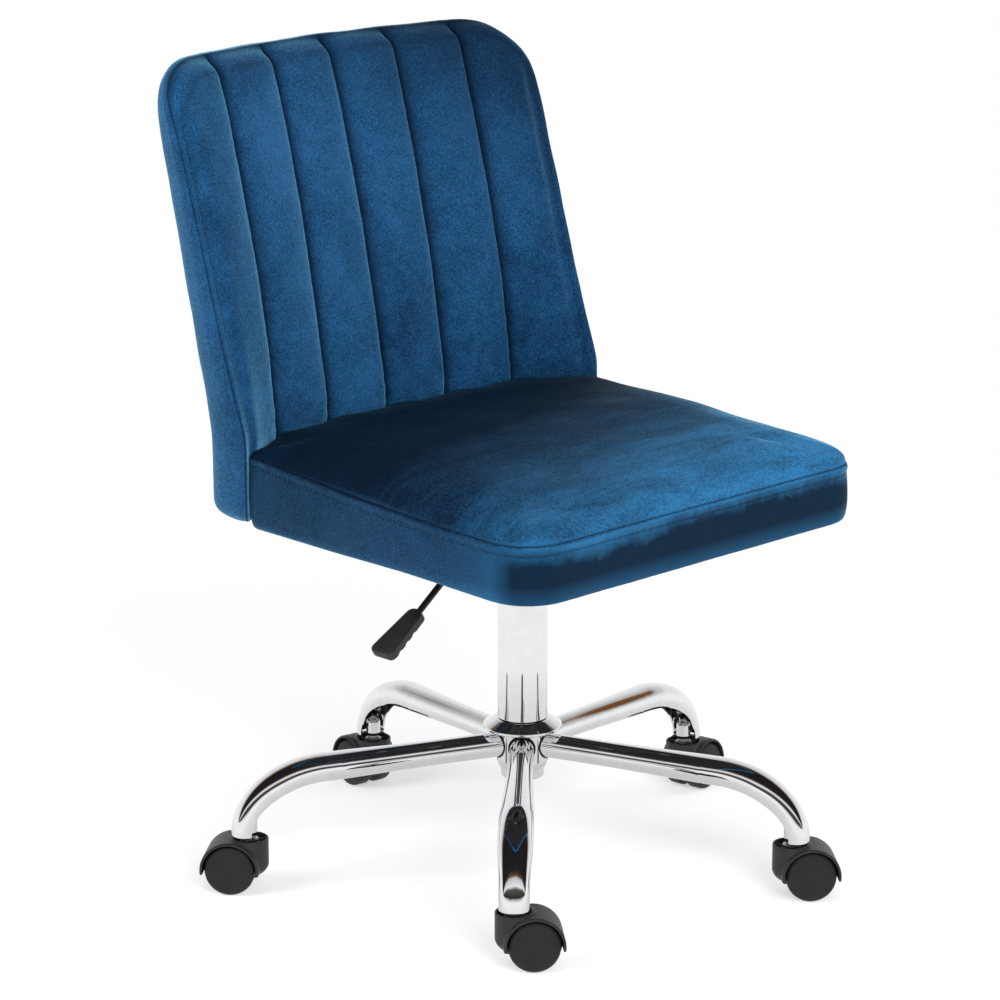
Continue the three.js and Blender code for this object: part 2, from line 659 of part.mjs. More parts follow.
function seatCushionGeometry() {
  const flat = (inset, z) => seatOutline(inset).map(([x, y]) => new THREE.Vector3(x, y, z));
  const crown = (inset, lift) =>
    seatOutline(inset).map(([x, y]) => {
      return new THREE.Vector3(x, y, seamHeight(y) + lift * crownShare(y));
    });
  const rings = [flat(6, SEAT_BOTTOM_Z), flat(1.5, SEAT_BOTTOM_Z + 5), crown(0, -8), crown(0, 0)];
  rings.push(crown(4, 8.5), crown(8, 13), crown(14, 16.5), crown(25, 19.5), crown(45, 23), crown(100, 26));
  const pocket = upright(seatShape(BOARD_INSET), SEAT_BOTTOM_Z - 3, SEAT_BOTTOM_Z + 1 + BOARD_THICK + 2 * GAP);
  return cut(loft(rings), pocket);
}

function seatBoardGeometry() {
  const low = SEAT_BOTTOM_Z + 1;
  const holes = boltHoles(low - 1, low + BOARD_THICK + 1);
  return cut(upright(seatShape(BOARD_INSET + 0.5), low, low + BOARD_THICK), ...holes);
}

function dustCoverGeometry() {
  const low = SEAT_BOTTOM_Z - 0.1;
  return cut(upright(seatShape(BOARD_INSET + 0.5), low, low + 0.7), ...boltHoles(low - 1, low + 2));
}

// ---------- Back ----------
// Half width at a height: full, with rounded corners at the top and small ones at the bottom.
function backHalfWidth(z, inset) {
  const corner = BACK_CORNER - inset;
  const footCorner = 14;
  const half = BACK_HALF - inset;
  const aboveCorner = Math.max(z - (BACK_TOP_Z - inset - corner), 0);
  const belowFoot = Math.max(BACK_BOTTOM_Z + inset + footCorner - z, 0);
  const topLoss = corner - Math.sqrt(Math.max(corner ** 2 - aboveCorner ** 2, 0));
  const footLoss = footCorner - Math.sqrt(Math.max(footCorner ** 2 - belowFoot ** 2, 0));
  return half - topLoss - footLoss;
}

// A slab of the back between two curved faces; the front face rounds off at its top and bottom edges.
function backSlab(front, rear, inset, rounding) {
  const low = BACK_BOTTOM_Z + inset;
  const high = BACK_TOP_Z - inset;
  const lowSteps = [0, 4, 14].map((rise) => low + rise);
  const middle = [430, 470, 520, 580, 640, 700].filter((z) => z > low + 14 && z < high - 60);
  const highSteps = [60, 36, 20, 10, 3, 0].map((drop) => high - drop);
  return loft(
    [...lowSteps, ...middle, ...highSteps].map((z) => {
      const half = backHalfWidth(z, inset);
      const topPull = Math.max(0, 1 - (high - z) / 16) ** 2 * rounding;
      const lowPull = Math.max(0, 1 - (z - low) / 10) ** 2 * rounding * 0.4;
      const frontRow = [];
      const rearRow = [];
      for (let i = 0; i <= BACK_COLUMNS; i++) {
        const x = -half + (2 * half * i) / BACK_COLUMNS;
        frontRow.push(new THREE.Vector3(x, front(x, z) + topPull + lowPull, z));
        rearRow.push(new THREE.Vector3(-x, rear(x, z), z));
      }
      return [...frontRow, ...rearRow];
    }),
  );
}

function backCushionGeometry() {
  return backSlab(backFront, (x, z) => backRear(x, z) - BACK_SKIN - PANEL_THICK - BENT_GAP, 0, 11);
}

function backPanelGeometry() {
  const panelRear = (x, z) => backRear(x, z) - BACK_SKIN;
  return backSlab((x, z) => panelRear(x, z) - PANEL_THICK, panelRear, PANEL_INSET, 0);
}

function rearCoverGeometry() {
  return backSlab((x, z) => backRear(x, z) - BACK_SKIN + BENT_GAP, backRear, 1, 0);
}

// Flat steel angle: one leg under the seat board, the other up between the seat and the back.
function bracketGeometry() {
  const half = BRACKET_HALF;
  const rearY = BRACKET_WALL_Y + BRACKET_THICK;
  const low = PLATE_TOP_Z - 3;
  const foot = box(-half, half, BRACKET_FOOT_Y, rearY, low, PLATE_TOP_Z);
  return join(foot, box(-half, half, BRACKET_WALL_Y, rearY, low, BRACKET_TOP_Z));
}

// ---------- Assembly ----------
const chair = new THREE.Group();
chair.add(mesh("base_hub", hubGeometry(), CHROME));
for (let number = 1; number <= LEG_COUNT; number++) {
  chair.add(legGroup(number));
}

chair.add(
  mesh("lift_outer_tube", columnGeometry(), CHROME),
  mesh("lift_guide_bushing", guideBushingGeometry(), BLACK_PLASTIC),
  mesh("lift_thrust_bearing", thrustBearingGeometry(), STEEL),
  mesh("lift_piston_rod", pistonRodGeometry(), STEEL),
  mesh("lift_retaining_clip", retainingClipGeometry(), STEEL),
  mesh("lift_pressure_tube", pressureTubeGeometry(), BLACK_STEEL),
  mesh("release_button", releaseButtonGeometry(), STEEL),
);

chair.add(mesh("mechanism_plate", plateGeometry(), BLACK_STEEL));
chair.add(mesh("taper_socket", taperSocketGeometry(), BLACK_STEEL));
boltPlaces().forEach(([x, y], i) => {
  const bolt = mesh("plate_bolt_" + (i + 1), boltGeometry(), STEEL);
  bolt.position.set(x, y, 0);
  chair.add(bolt);
});

const lever = new THREE.Group();
lever.position.set(PIVOT_X, 0, PIVOT_Z);
const paddle = mesh("lever_paddle", leverPaddleGeometry(), BLACK_PLASTIC);
paddle.position.copy(PADDLE_START);
paddle.rotation.set(0, -PADDLE_SLOPE, Math.PI);
lever.add(mesh("lever_rod", leverRodGeometry(), BLACK_STEEL), paddle);
lever.add(mesh("lever_pivot_pin", pivotPinGeometry(), STEEL));
chair.add(lever);

chair.add(
  mesh("seat_board", seatBoardGeometry(), PLYWOOD),
  mesh("dust_cover", dustCoverGeometry(), DUST_CLOTH),
  mesh("seat_cushion", seatCushionGeometry(), VELVET),
  mesh("back_panel", backPanelGeometry(), PLYWOOD),
  mesh("back_cushion", backCushionGeometry(), VELVET),
  mesh("back_rear_cover", rearCoverGeometry(), VELVET),
);
for (const [name, x] of [["back_bracket_left", BRACKET_X], ["back_bracket_right", -BRACKET_X]]) {
  const bracket = mesh(name, bracketGeometry(), BLACK_STEEL);
  bracket.position.x = x;
  chair.add(bracket);
}

// The exported frame: origin under the middle of the whole chair, on the floor.
const extent = new THREE.Box3().setFromObject(chair, true);
const middle = extent.getCenter(new THREE.Vector3());
chair.position.set(-middle.x, -middle.y, -extent.min.z);

const group = new THREE.Group();
group.add(chair);
export default group;
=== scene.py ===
"""Looks of the velvet swivel chair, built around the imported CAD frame.

Shapes are worked out in millimetres in the chair's own frame (gas lift on the Z axis, the sitter facing -Y)
and put into the frame's metres when their mesh is made.
"""

import json
import math

import bmesh
import bpy
import numpy as np
from mathutils import Matrix, Vector, noise
from mathutils.bvhtree import BVHTree

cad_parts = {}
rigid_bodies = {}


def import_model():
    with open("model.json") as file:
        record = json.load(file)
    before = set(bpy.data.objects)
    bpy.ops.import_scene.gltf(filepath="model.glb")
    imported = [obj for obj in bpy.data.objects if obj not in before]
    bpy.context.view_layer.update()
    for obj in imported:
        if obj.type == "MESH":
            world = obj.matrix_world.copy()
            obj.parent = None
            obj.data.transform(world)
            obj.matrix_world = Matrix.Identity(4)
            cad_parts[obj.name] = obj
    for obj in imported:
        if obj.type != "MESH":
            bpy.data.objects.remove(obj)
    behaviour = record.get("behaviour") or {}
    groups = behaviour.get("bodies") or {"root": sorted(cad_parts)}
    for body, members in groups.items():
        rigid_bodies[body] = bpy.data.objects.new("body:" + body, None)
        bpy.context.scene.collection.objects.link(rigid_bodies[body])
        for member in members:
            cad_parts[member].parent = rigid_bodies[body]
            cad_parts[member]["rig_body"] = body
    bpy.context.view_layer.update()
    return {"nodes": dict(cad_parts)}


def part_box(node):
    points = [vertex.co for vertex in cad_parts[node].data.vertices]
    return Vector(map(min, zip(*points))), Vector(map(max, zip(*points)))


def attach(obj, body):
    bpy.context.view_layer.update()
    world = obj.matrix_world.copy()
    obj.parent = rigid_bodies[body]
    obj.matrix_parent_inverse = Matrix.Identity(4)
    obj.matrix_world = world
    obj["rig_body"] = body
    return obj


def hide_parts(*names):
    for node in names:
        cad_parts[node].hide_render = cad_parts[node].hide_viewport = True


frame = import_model()

MM = 0.001
LEGS = 5
FULL_TURN = 2 * math.pi


def node_centre(name):
    low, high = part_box(name)
    return (low + high) / 2


LIFT = node_centre("lift_outer_tube")
AXIS = np.array([LIFT.x, LIFT.y, 0.0])  # where the gas lift stands in the frame, metres


# ---------- Camera and light ----------
CAMERA_AZIMUTH = math.radians(-44.73)
CAMERA_ELEVATION = math.radians(15.1)
CAMERA_DISTANCE = 3.8411
CAMERA_LENS = 140.38
AIM_SIDE = -0.0225  # the picture's centre, to the side of the gas lift
AIM_HEIGHT = 0.3786
WORLD_LIGHT = 0.42
FLOOR_RADIUS = 9.0


def make_camera():
    a, e = CAMERA_AZIMUTH, CAMERA_ELEVATION
    side = Vector((math.cos(a), math.sin(a), 0))
    back = Vector((math.sin(a) * math.cos(e), -math.cos(a) * math.cos(e), math.sin(e)))
    data = bpy.data.cameras.new("camera")
    data.lens = CAMERA_LENS
    data.sensor_width = 36
    data.clip_end = 60
    camera = bpy.data.objects.new("camera", data)
    camera.location = Vector(AXIS) + side * AIM_SIDE + Vector((0, 0, AIM_HEIGHT)) + back * CAMERA_DISTANCE
    camera.rotation_euler = (math.pi / 2 - e, 0, a)
    bpy.context.scene.collection.objects.link(camera)
    bpy.context.scene.camera = camera


def area_light(name, place, aim, size, power, colour=(1, 1, 1)):
    data = bpy.data.lights.new(name, "AREA")
    data.shape = "RECTANGLE"
    data.size, data.size_y = size
    data.energy = power
    data.color = colour
    light = bpy.data.objects.new(name, data)
    light.location = place
    light.rotation_euler = (Vector(aim) - Vector(place)).to_track_quat("-Z", "Y").to_euler()
    light.visible_glossy = False  # the chrome mirrors the painted studio instead
    bpy.context.scene.collection.objects.link(light)


class Value:
    """A number worked out inside a shader, which takes Python's +, - and *."""

    def __init__(self, nodes, socket):
        self.nodes, self.socket = nodes, socket

    def __add__(self, other):
        return self.nodes.math("ADD", self, other)

    def __mul__(self, other):
        return self.nodes.math("MULTIPLY", self, other)

    def __sub__(self, other):
        return self.nodes.math("SUBTRACT", self, other)

    def __rsub__(self, other):
        return self.nodes.math("SUBTRACT", other, self)


class Nodes:
    """Short ways to add and join shader nodes."""

    def __init__(self, tree):
        self.tree = tree
        tree.nodes.clear()

    def put(self, node, name, value):
        """Sets a property or an input of a node, or joins another node's output to that input."""
        key = name.replace("_", " ") if isinstance(name, str) else name
        source = value.socket if isinstance(value, Value) else value
        if isinstance(source, bpy.types.NodeSocket):
            self.tree.links.new(source, node.inputs[key])
        elif isinstance(name, str) and hasattr(node, name):
            setattr(node, name, source)
        else:
            node.inputs[key].default_value = source

    def add(self, kind, **values):
        node = self.tree.nodes.new(kind)
        for name, value in values.items():
            self.put(node, name, value)
        return node

    def read(self, kind, output, **values):
        return Value(self, self.add(kind, **values).outputs[output])

    def split(self, vector):
        node = self.add("ShaderNodeSeparateXYZ", Vector=vector)
        return [Value(self, node.outputs[axis]) for axis in "XYZ"]

    def math(self, operation, a, b):
        node = self.add("ShaderNodeMath", operation=operation)
        self.put(node, 0, a)
        self.put(node, 1, b)
        return Value(self, node.outputs[0])

    def noise(self, place, scale, detail=3.0, roughness=0.55, distortion=0.0):
        return self.read("ShaderNodeTexNoise", "Fac", Vector=place, Scale=scale, Detail=detail,
                         Roughness=roughness, Distortion=distortion)

    def span(self, value, low, high, to_low=0.0, to_high=1.0):
        """The value's place between low and high, held between to_low and to_high."""
        return self.read("ShaderNodeMapRange", "Result", Value=value, From_Min=low, From_Max=high,
                         To_Min=to_low, To_Max=to_high)

    def ramp(self, value, stops):
        node = self.add("ShaderNodeValToRGB", Fac=value)
        elements = node.color_ramp.elements
        while len(elements) < len(stops):
            elements.new(0.5)
        for element, (place, colour) in zip(elements, stops):
            element.position = place
            element.color = (*colour, 1)
        return node.outputs["Color"]

    def mix(self, factor, a, b):
        """A colour from a to b; 6 and 7 are the node's inputs for colours, and 2 its output for them."""
        node = self.add("ShaderNodeMix", data_type="RGBA")
        for slot, value in ((0, factor), (6, a), (7, b)):
            self.put(node, slot, (*value, 1) if isinstance(value, tuple) else value)
        return node.outputs[2]

    def blend(self, factor, first, second):
        """A shader that turns from the first into the second."""
        node = self.add("ShaderNodeMixShader", Fac=factor)
        self.put(node, 1, first.outputs[0])
        self.put(node, 2, second.outputs[0])
        return node

    def bump(self, height, strength, distance, **below):
        return self.add("ShaderNodeBump", Strength=strength, Distance=distance, Height=height,
                        **below).outputs["Normal"]


STUDIO_SEEN = [  # what polished chrome mirrors, turning from the far side over the top to the camera's side
    (0.0, (0.92, 0.93, 0.94)), (0.11, (0.80, 0.81, 0.82)), (0.20, (0.46, 0.46, 0.46)),
    (0.222, (0.20, 0.09, 0.035)), (0.26, (0.05, 0.028, 0.015)), (0.29, (0.012, 0.012, 0.014)),
    (0.64, (0.016, 0.016, 0.018)), (0.69, (0.13, 0.06, 0.025)), (0.72, (0.60, 0.60, 0.62)),
    (0.80, (0.85, 0.86, 0.88)), (0.84, (0.10, 0.09, 0.08)), (0.94, (0.02, 0.02, 0.02)),
    (0.97, (0.55, 0.55, 0.55)), (1.0, (0.85, 0.86, 0.88)),
]


def make_world():
    """Soft light all round, a white backdrop, and bright and dark walls that only reflections show."""
    world = bpy.data.worlds.new("studio")
    bpy.context.scene.world = world
    world.use_nodes = True
    n = Nodes(world.node_tree)
    direction = n.add("ShaderNodeTexCoord").outputs["Generated"]
    far_side = n.add("ShaderNodeVectorMath", operation="DOT_PRODUCT")
    n.put(far_side, 0, direction)
    n.put(far_side, 1, (-math.sin(CAMERA_AZIMUTH), math.cos(CAMERA_AZIMUTH), 0))
    ahead = Value(n, far_side.outputs["Value"]) + 0.22
    turn = n.math("ARCTAN2", n.split(direction)[2], ahead) + (n.noise(direction, 3.0, 2.0) - 0.5) * 0.14
    seen = n.ramp(n.span(turn, 0, math.pi), STUDIO_SEEN)
    soft = n.add("ShaderNodeBackground", Strength=WORLD_LIGHT, Color=(0.94, 0.97, 1.0, 1))
    mirrored = n.add("ShaderNodeBackground", Strength=1.0, Color=seen)
    backdrop = n.add("ShaderNodeBackground", Strength=1.15, Color=(1, 1, 1, 1))
    ray = n.add("ShaderNodeLightPath")
    lit = n.blend(ray.outputs["Is Glossy Ray"], soft, mirrored)
    shown = n.blend(ray.outputs["Is Camera Ray"], lit, backdrop)
    n.add("ShaderNodeOutputWorld", Surface=shown.outputs[0])


def make_floor():
    """A pale floor that fades to plain white further from the chair, and hides nothing seen from below; in
    reflections it shows painted shadow near the chair.
    """
    material = bpy.data.materials.new("pale_floor")
    material.use_nodes = True
    n = Nodes(material.node_tree)
    place = n.add("ShaderNodeNewGeometry").outputs["Position"]
    length = n.add("ShaderNodeVectorMath", operation="LENGTH")
    n.put(length, 0, place)
    distance = Value(n, length.outputs["Value"])
    tone = n.span(n.noise(place, 5.0), 0.3, 0.7, 0.93, 0.96)
    colour = n.add("ShaderNodeCombineColor", Red=tone, Green=tone, Blue=tone)
    matt = n.add("ShaderNodeBsdfDiffuse", Color=colour.outputs[0])
    white = n.add("ShaderNodeEmission", Strength=1.0)
    seen = n.blend(n.span(distance, 0.30, 1.1, 0.5, 1.0), matt, white)
    # painted shadow in reflections: darker close to the chair, lighter further out
    mirrored = n.add("ShaderNodeEmission", Strength=n.span(distance, 0.12, 0.62, 0.62, 0.95))
    seen = n.blend(n.add("ShaderNodeLightPath").outputs["Is Glossy Ray"], seen, mirrored)
    beneath = n.add("ShaderNodeNewGeometry").outputs["Backfacing"]
    shown = n.blend(beneath, seen, n.add("ShaderNodeBsdfTransparent"))
    n.add("ShaderNodeOutputMaterial", Surface=shown.outputs[0])
    bm = bmesh.new()
    bmesh.ops.create_circle(bm, cap_ends=True, radius=FLOOR_RADIUS, segments=96)
    mesh = bpy.data.meshes.new("floor")
    bm.to_mesh(mesh)
    bm.free()
    floor = bpy.data.objects.new("floor", mesh)
    floor.location.z = -0.0006
    mesh.materials.append(material)
    bpy.context.scene.collection.objects.link(floor)


# ---------- Materials ----------
# Velvet colours: one for painted shade, one for painted light, and one for painted shade along the seams, which
# also darkens the gaps in the seat's pile
PAINTED_SHADE_COLOUR = (0.0008, 0.0048, 0.0125)
PAINTED_LIGHT_COLOUR = (0.0260, 0.1700, 0.3700)
SEAM_SHADE_AND_PILE_GAP_COLOUR = (0.0006, 0.0040, 0.0110)
DEEP = (0.0026, 0.0128, 0.0365)
BLUE = (0.0052, 0.0395, 0.1010)
BRIGHT = (0.0150, 0.0770, 0.1860)
SEAT_PAINTED_SHADE = 0.82  # painted shade: how much darker the seat's copy of the velvet is than the back's
SHEEN_ACROSS = 0.03  # looking straight into the pile
SHEEN_ALONG = 1.0  # looking along its tips


def new_material(name, **values):
    """A material with a Principled shader, the short ways to its nodes, and the place in the object."""
    material = bpy.data.materials.new(name)
    material.use_nodes = True
    n = Nodes(material.node_tree)
    shader = n.add("ShaderNodeBsdfPrincipled", **values)
    n.add("ShaderNodeOutputMaterial", Surface=shader.outputs[0])
    return material, n, shader, n.add("ShaderNodeTexCoord").outputs["Object"]


def velvet(name, dark, middle, light, part=None):
    """Short dense pile: mottled where hands have brushed it, glowing at a grazing angle.
    part is back or seat, and says where painted light and painted shade go on its pile."""
    material, n, shader, place = new_material(
        name, Sheen_Roughness=0.4, Sheen_Tint=(0.23, 0.63, 0.95, 1), Specular_IOR_Level=0.12, Roughness=0.78)
    x, y, z = n.split(place)
    cloud = n.noise(place, 7.0, 3.0, 0.5, 0.5)
    brushed = n.noise(place, 40.0, 4.0, 0.62, 1.2)
    uneven = (brushed - 0.5) * 0.07
    pile = n.noise(place, 560.0, 3.0, 0.7)
    if part == "seat":
        turned_to = n.split(n.add("ShaderNodeTexCoord").outputs["Normal"])
        above = n.span(turned_to[2], 0.15, 0.55)
        ahead = n.span(turned_to[1], -0.05, -0.50)
        pile = pile + (n.noise(place, 400.0, 4.0, 0.75) - pile) * above
        stretched = n.add("ShaderNodeMapping", Vector=place, Scale=(9, 34, 20))
        streaks = (n.noise(stretched.outputs[0], 1.0, 5.0, 0.62, 0.8) - 0.5) * above
    blend = cloud * 0.30 + brushed * 0.16 + pile * 0.54
    if part == "seat":
        blend = blend + streaks * 0.30
    colour = n.ramp(n.span(blend, 0.38, 0.62), [(0.0, dark), (0.5, middle), (1.0, light)])
    facing = n.read("ShaderNodeLayerWeight", "Facing", Blend=0.5)
    glow = n.span(facing, 0.08, 0.52, SHEEN_ACROSS, SHEEN_ALONG) * n.span(pile, 0.36, 0.64, 0.4, 1.0)
    if part == "back":  # painted shade: darker towards the top right, where less light falls, and darker again over the top roll
        painted_lighting_slope = z + x * 0.60 + uneven
        painted_shade = n.span(painted_lighting_slope, 0.70, 0.96, 0.0, 0.80) + n.span(z, 0.785, 0.812, 0.0, 0.20)
        colour = n.mix(painted_shade, colour, PAINTED_SHADE_COLOUR)
        glow = glow * (1 - painted_shade)
    if part == "seat":  # painted shade under the back, painted light at the front, painted shade again on the front band below its seam and on the side band
        painted_lighting_slope = y + x * -0.22 + uneven
        # painted light towards the front of the seat
        colour = n.mix(n.span(painted_lighting_slope, -0.08, -0.22, 0.0, 0.60), colour, PAINTED_LIGHT_COLOUR)
        height = z + (cloud - 0.5) * 0.034 + uneven * 0.25
        # painted shade on the front band below its seam
        front = n.span(height, 0.423, 0.400) * n.span(z, 0.366, 0.382, 0.68, 1.0)
        # painted shade on the side band, lighter at its bottom edge where it rolls under
        side = n.span(z, 0.368, 0.378, 0.10, 0.40)
        band = front * 0.93 * ahead + side * (1 - ahead)
        glow = glow * (1 - above * n.span(facing, 0.76, 0.95, 0.80, 0.30))
        painted_shade = n.span(painted_lighting_slope, -0.25, 0.01, 0.0, 0.95) * above + band * (1 - above)
        colour = n.mix(painted_shade, colour, PAINTED_SHADE_COLOUR)
        # the pile's own dark gaps and streaks on the top, not light
        gaps = n.span(pile, 0.38, 0.62, 0.50, 0.0) + streaks * -1.6
        colour = n.mix(n.span(gaps, 0.0, 1.0) * above, colour, SEAM_SHADE_AND_PILE_GAP_COLOUR)
        glow = glow * (1 - painted_shade)
    # painted shade in and beside the seams, from the sewn attribute; the sheen is taken away there too
    sewn = n.read("ShaderNodeAttribute", "Fac", attribute_name="sewn")
    sewn = n.math("POWER", sewn, 2.5 if part == "seat" else 1.2)
    n.put(shader, "Sheen Weight", glow * (1 - sewn))
    n.put(shader, "Base Color", n.mix(sewn * 0.85, colour, SEAM_SHADE_AND_PILE_GAP_COLOUR))
    fuzz = n.bump(pile, 0.45, 0.0006)
    n.put(shader, "Normal", n.bump(brushed, 0.30, 0.0006, Normal=fuzz))
    return material


def chrome(name):
    material, n, shader, place = new_material(name, Metallic=1.0)
    smudge = n.noise(place, 55.0, 4.0, 0.6, 0.8)
    n.put(shader, "Base Color", n.ramp(smudge, [(0.3, (0.845, 0.85, 0.86)), (0.7, (0.90, 0.905, 0.91))]))
    n.put(shader, "Roughness", n.span(smudge, 0.35, 0.75, 0.022, 0.06))
    n.put(shader, "Normal", n.bump(n.noise(place, 24.0, 1.0), 0.05, 0.0005))
    return material


def metal(name, dark, light, rough, grain=220.0, metallic=1.0):
    material, n, shader, place = new_material(name, Metallic=metallic)
    worn = n.noise(place, grain, 4.0, 0.6)
    n.put(shader, "Base Color", n.ramp(worn, [(0.35, dark), (0.7, light)]))
    n.put(shader, "Roughness", n.span(worn, 0.3, 0.7, rough - 0.08, rough + 0.1))
    n.put(shader, "Normal", n.bump(worn, 0.18, 0.0003))
    return material


def plastic(name, dark, light, rough, grain=2600.0, level=0.4):
    """Moulded plastic with a fine grain, a little polished and paler along its sharp edges."""
    material, n, shader, place = new_material(name, Specular_IOR_Level=level)
    cloud = n.noise(place, 60.0, 3.0)
    skin = n.noise(place, grain, 2.0, 0.5)
    edge = n.span(n.add("ShaderNodeNewGeometry").outputs["Pointiness"], 0.52, 0.60)
    colour = n.ramp(cloud, [(0.3, dark), (0.7, light)])
    n.put(shader, "Base Color", n.mix(edge * 0.5, colour, tuple(2.4 * c for c in light)))
    n.put(shader, "Roughness", n.span(skin, 0.3, 0.7, rough - 0.05, rough + 0.09))
    n.put(shader, "Normal", n.bump(skin, 0.35, 0.00012))
    return material


def plywood(name):
    material, n, shader, place = new_material(name, Roughness=0.7)
    stretched = n.add("ShaderNodeMapping", Vector=place, Scale=(40, 4, 40))
    grain = n.noise(stretched.outputs[0], 3.0, 6.0, 0.65, 1.0)
    n.put(shader, "Base Color", n.ramp(grain, [(0.3, (0.30, 0.17, 0.08)), (0.7, (0.55, 0.36, 0.19))]))
    n.put(shader, "Normal", n.bump(grain, 0.2, 0.0005))
    return material


def dust_cloth(name):
    """Black spun cloth, pressed with a fine square pattern."""
    material, n, shader, place = new_material(name, Roughness=0.9, Specular_IOR_Level=0.2)
    spots = n.read("ShaderNodeTexVoronoi", "Distance", distance="CHEBYCHEV", Vector=place, Scale=420.0,
                   Randomness=0.15)
    n.put(shader, "Base Color", n.ramp(spots, [(0.1, (0.022, 0.022, 0.024)), (0.6, (0.007, 0.007, 0.008))]))
    n.put(shader, "Normal", n.bump(spots, 0.5, 0.0004))
    return material


MATERIALS = {  # one for each slot
    # the back's velvet, with painted shade towards its top right; the rear panel uses it too
    "velvet": velvet("velvet", DEEP, BLUE, BRIGHT, "back"),
    "chrome": chrome("chrome"),
    "steel": metal("zinc_steel", (0.35, 0.36, 0.37), (0.58, 0.59, 0.60), 0.34),
    "black_steel": metal("painted_steel", (0.012, 0.012, 0.013), (0.026, 0.026, 0.028), 0.42, 500.0, 0.35),
    "hood_plastic": plastic("hood_plastic", (0.0120, 0.0120, 0.0130), (0.0170, 0.0170, 0.0180), 0.40),
    "wheel_plastic": plastic("wheel_plastic", (0.0085, 0.0085, 0.0090), (0.0125, 0.0125, 0.0130), 0.52,
                             1900.0, 0.34),
    "paddle_plastic": plastic("paddle_plastic", (0.0150, 0.0150, 0.0165), (0.0220, 0.0225, 0.0240), 0.36,
                              3200.0),
    "bushing_plastic": plastic("bushing_plastic", (0.010, 0.010, 0.010), (0.016, 0.016, 0.016), 0.5),
    "plywood": plywood("plywood"),
    "dust_cloth": dust_cloth("dust_cloth"),
}
# the seat's velvet: a darker copy as painted shade, with painted light at its front and painted shade at its
# rear and on its bands
SEAT_VELVET_PAINTED = velvet("velvet_seat", *(tuple(SEAT_PAINTED_SHADE * c for c in shade) for shade in (DEEP, BLUE, BRIGHT)),
                     "seat")
THREAD = velvet("thread", (0.0008, 0.008, 0.022), (0.0020, 0.020, 0.052), (0.0036, 0.036, 0.09))
# painted shadow for the rim where each leg meets the hub
PAINTED_WELD_SHADOW = metal("weld_shadow", (0.015, 0.014, 0.013), (0.06, 0.055, 0.05), 0.5)


# ---------- Mesh helpers ----------
def place_mesh(name, points, faces, material, crisp=40.0, matrix=None):
    """Makes an object from points in millimetres: in the chair's frame, or in the frame of matrix."""
    mesh = bpy.data.meshes.new(name)
    mesh.from_pydata((np.asarray(points, float) * MM).tolist(), [], [list(map(int, f)) for f in faces])
    mesh.materials.append(material)
    mesh.polygons.foreach_set("use_smooth", [True] * len(mesh.polygons))
    if crisp:
        mesh.set_sharp_from_angle(angle=math.radians(crisp))
    mesh.validate()
    obj = bpy.data.objects.new(name, mesh)
    bpy.context.scene.collection.objects.link(obj)
    if matrix is None:
        mesh.transform(Matrix.Translation(AXIS))
    else:
        obj.matrix_world = matrix
    return obj


def declare(obj, node, replaces=True):
    """Makes the object move with a CAD node, and be shown in its place."""
    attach(obj, frame["nodes"][node]["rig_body"])
    if replaces:
        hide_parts(node)


def show(name, node, slot, shape, crisp=40.0, matrix=None):
    """Makes a hard piece from its points and faces, and shows it in place of a CAD node."""
    declare(place_mesh(name, *shape, MATERIALS[slot], crisp, matrix), node)


def rounded(profile, radius, steps=3, closed=True):
    """The profile with each of its corners turned into a small arc."""
    points = [np.array(p, float) for p in profile]
    result = []
    count = len(points)
    for i, here in enumerate(points):
        if not closed and i in (0, count - 1):
            result.append(here)
            continue
        back, ahead = points[i - 1] - here, points[(i + 1) % count] - here
        room = min(radius, 0.45 * np.linalg.norm(back), 0.45 * np.linalg.norm(ahead))
        start = here + back / np.linalg.norm(back) * room
        end = here + ahead / np.linalg.norm(ahead) * room
        result += [quadratic(start, here, end, k / steps) for k in range(steps + 1)]
    return result


def quadratic(start, pull, end, t):
    """The point at t of the curve from start to end that pull draws to itself."""
    return (1 - t) ** 2 * start + 2 * t * (1 - t) * pull + t ** 2 * end


def turned(profile, sides, closed=True):
    """Points and faces of a solid of revolution about Z, from [radius, z] points listed up the outside."""
    points, faces, rings = [], [], []
    for radius, z in profile:
        if radius < 1e-6:
            rings.append([len(points)] * sides)
            points.append((0, 0, z))
        else:
            rings.append(list(range(len(points), len(points) + sides)))
            for angle in (FULL_TURN * k / sides for k in range(sides)):
                points.append((radius * math.cos(angle), radius * math.sin(angle), z))
    for low, high in zip(rings, rings[1:] + rings[:1] if closed else rings[1:]):
        for k in range(sides):
            m = (k + 1) % sides
            face = [low[k], low[m], high[m], high[k]]
            face = [v for i, v in enumerate(face) if v != face[i - 1]]
            if len(face) > 2:
                faces.append(face)
    return points, faces


def lofted(rings, joined=False):
    """Points and faces of a skin through rings with as many points, capped or joined end to end."""
    count = len(rings[0])
    points = [p for ring in rings for p in ring]
    total = len(points)
    faces = []
    for start in range(0, total if joined else total - count, count):
        for i in range(count):
            m = (i + 1) % count
            faces.append([start + i, start + m, (start + m + count) % total, (start + i + count) % total])
    if not joined:
        faces += [list(range(count))[::-1], list(range(total - count, total))]
    return points, faces


def smoothstep(value, low, high):
    t = np.clip((np.asarray(value, float) - low) / (high - low), 0, 1)
    return t * t * (3 - 2 * t)


# ---------- Base: hub, legs, gas lift ----------
def make_hub():
    profile = [(21.9, 104), (23.4, 104), (26, 111), (26, 142.2), (35.5, 143.4), (39.5, 145.4), (39.5, 148.0),
               (28.4, 154.3), (26.8, 155), (23.2, 155), (22.2, 150)]
    show("hub_chrome", "base_hub", "chrome", turned(rounded(profile, 0.8), 96), 30)


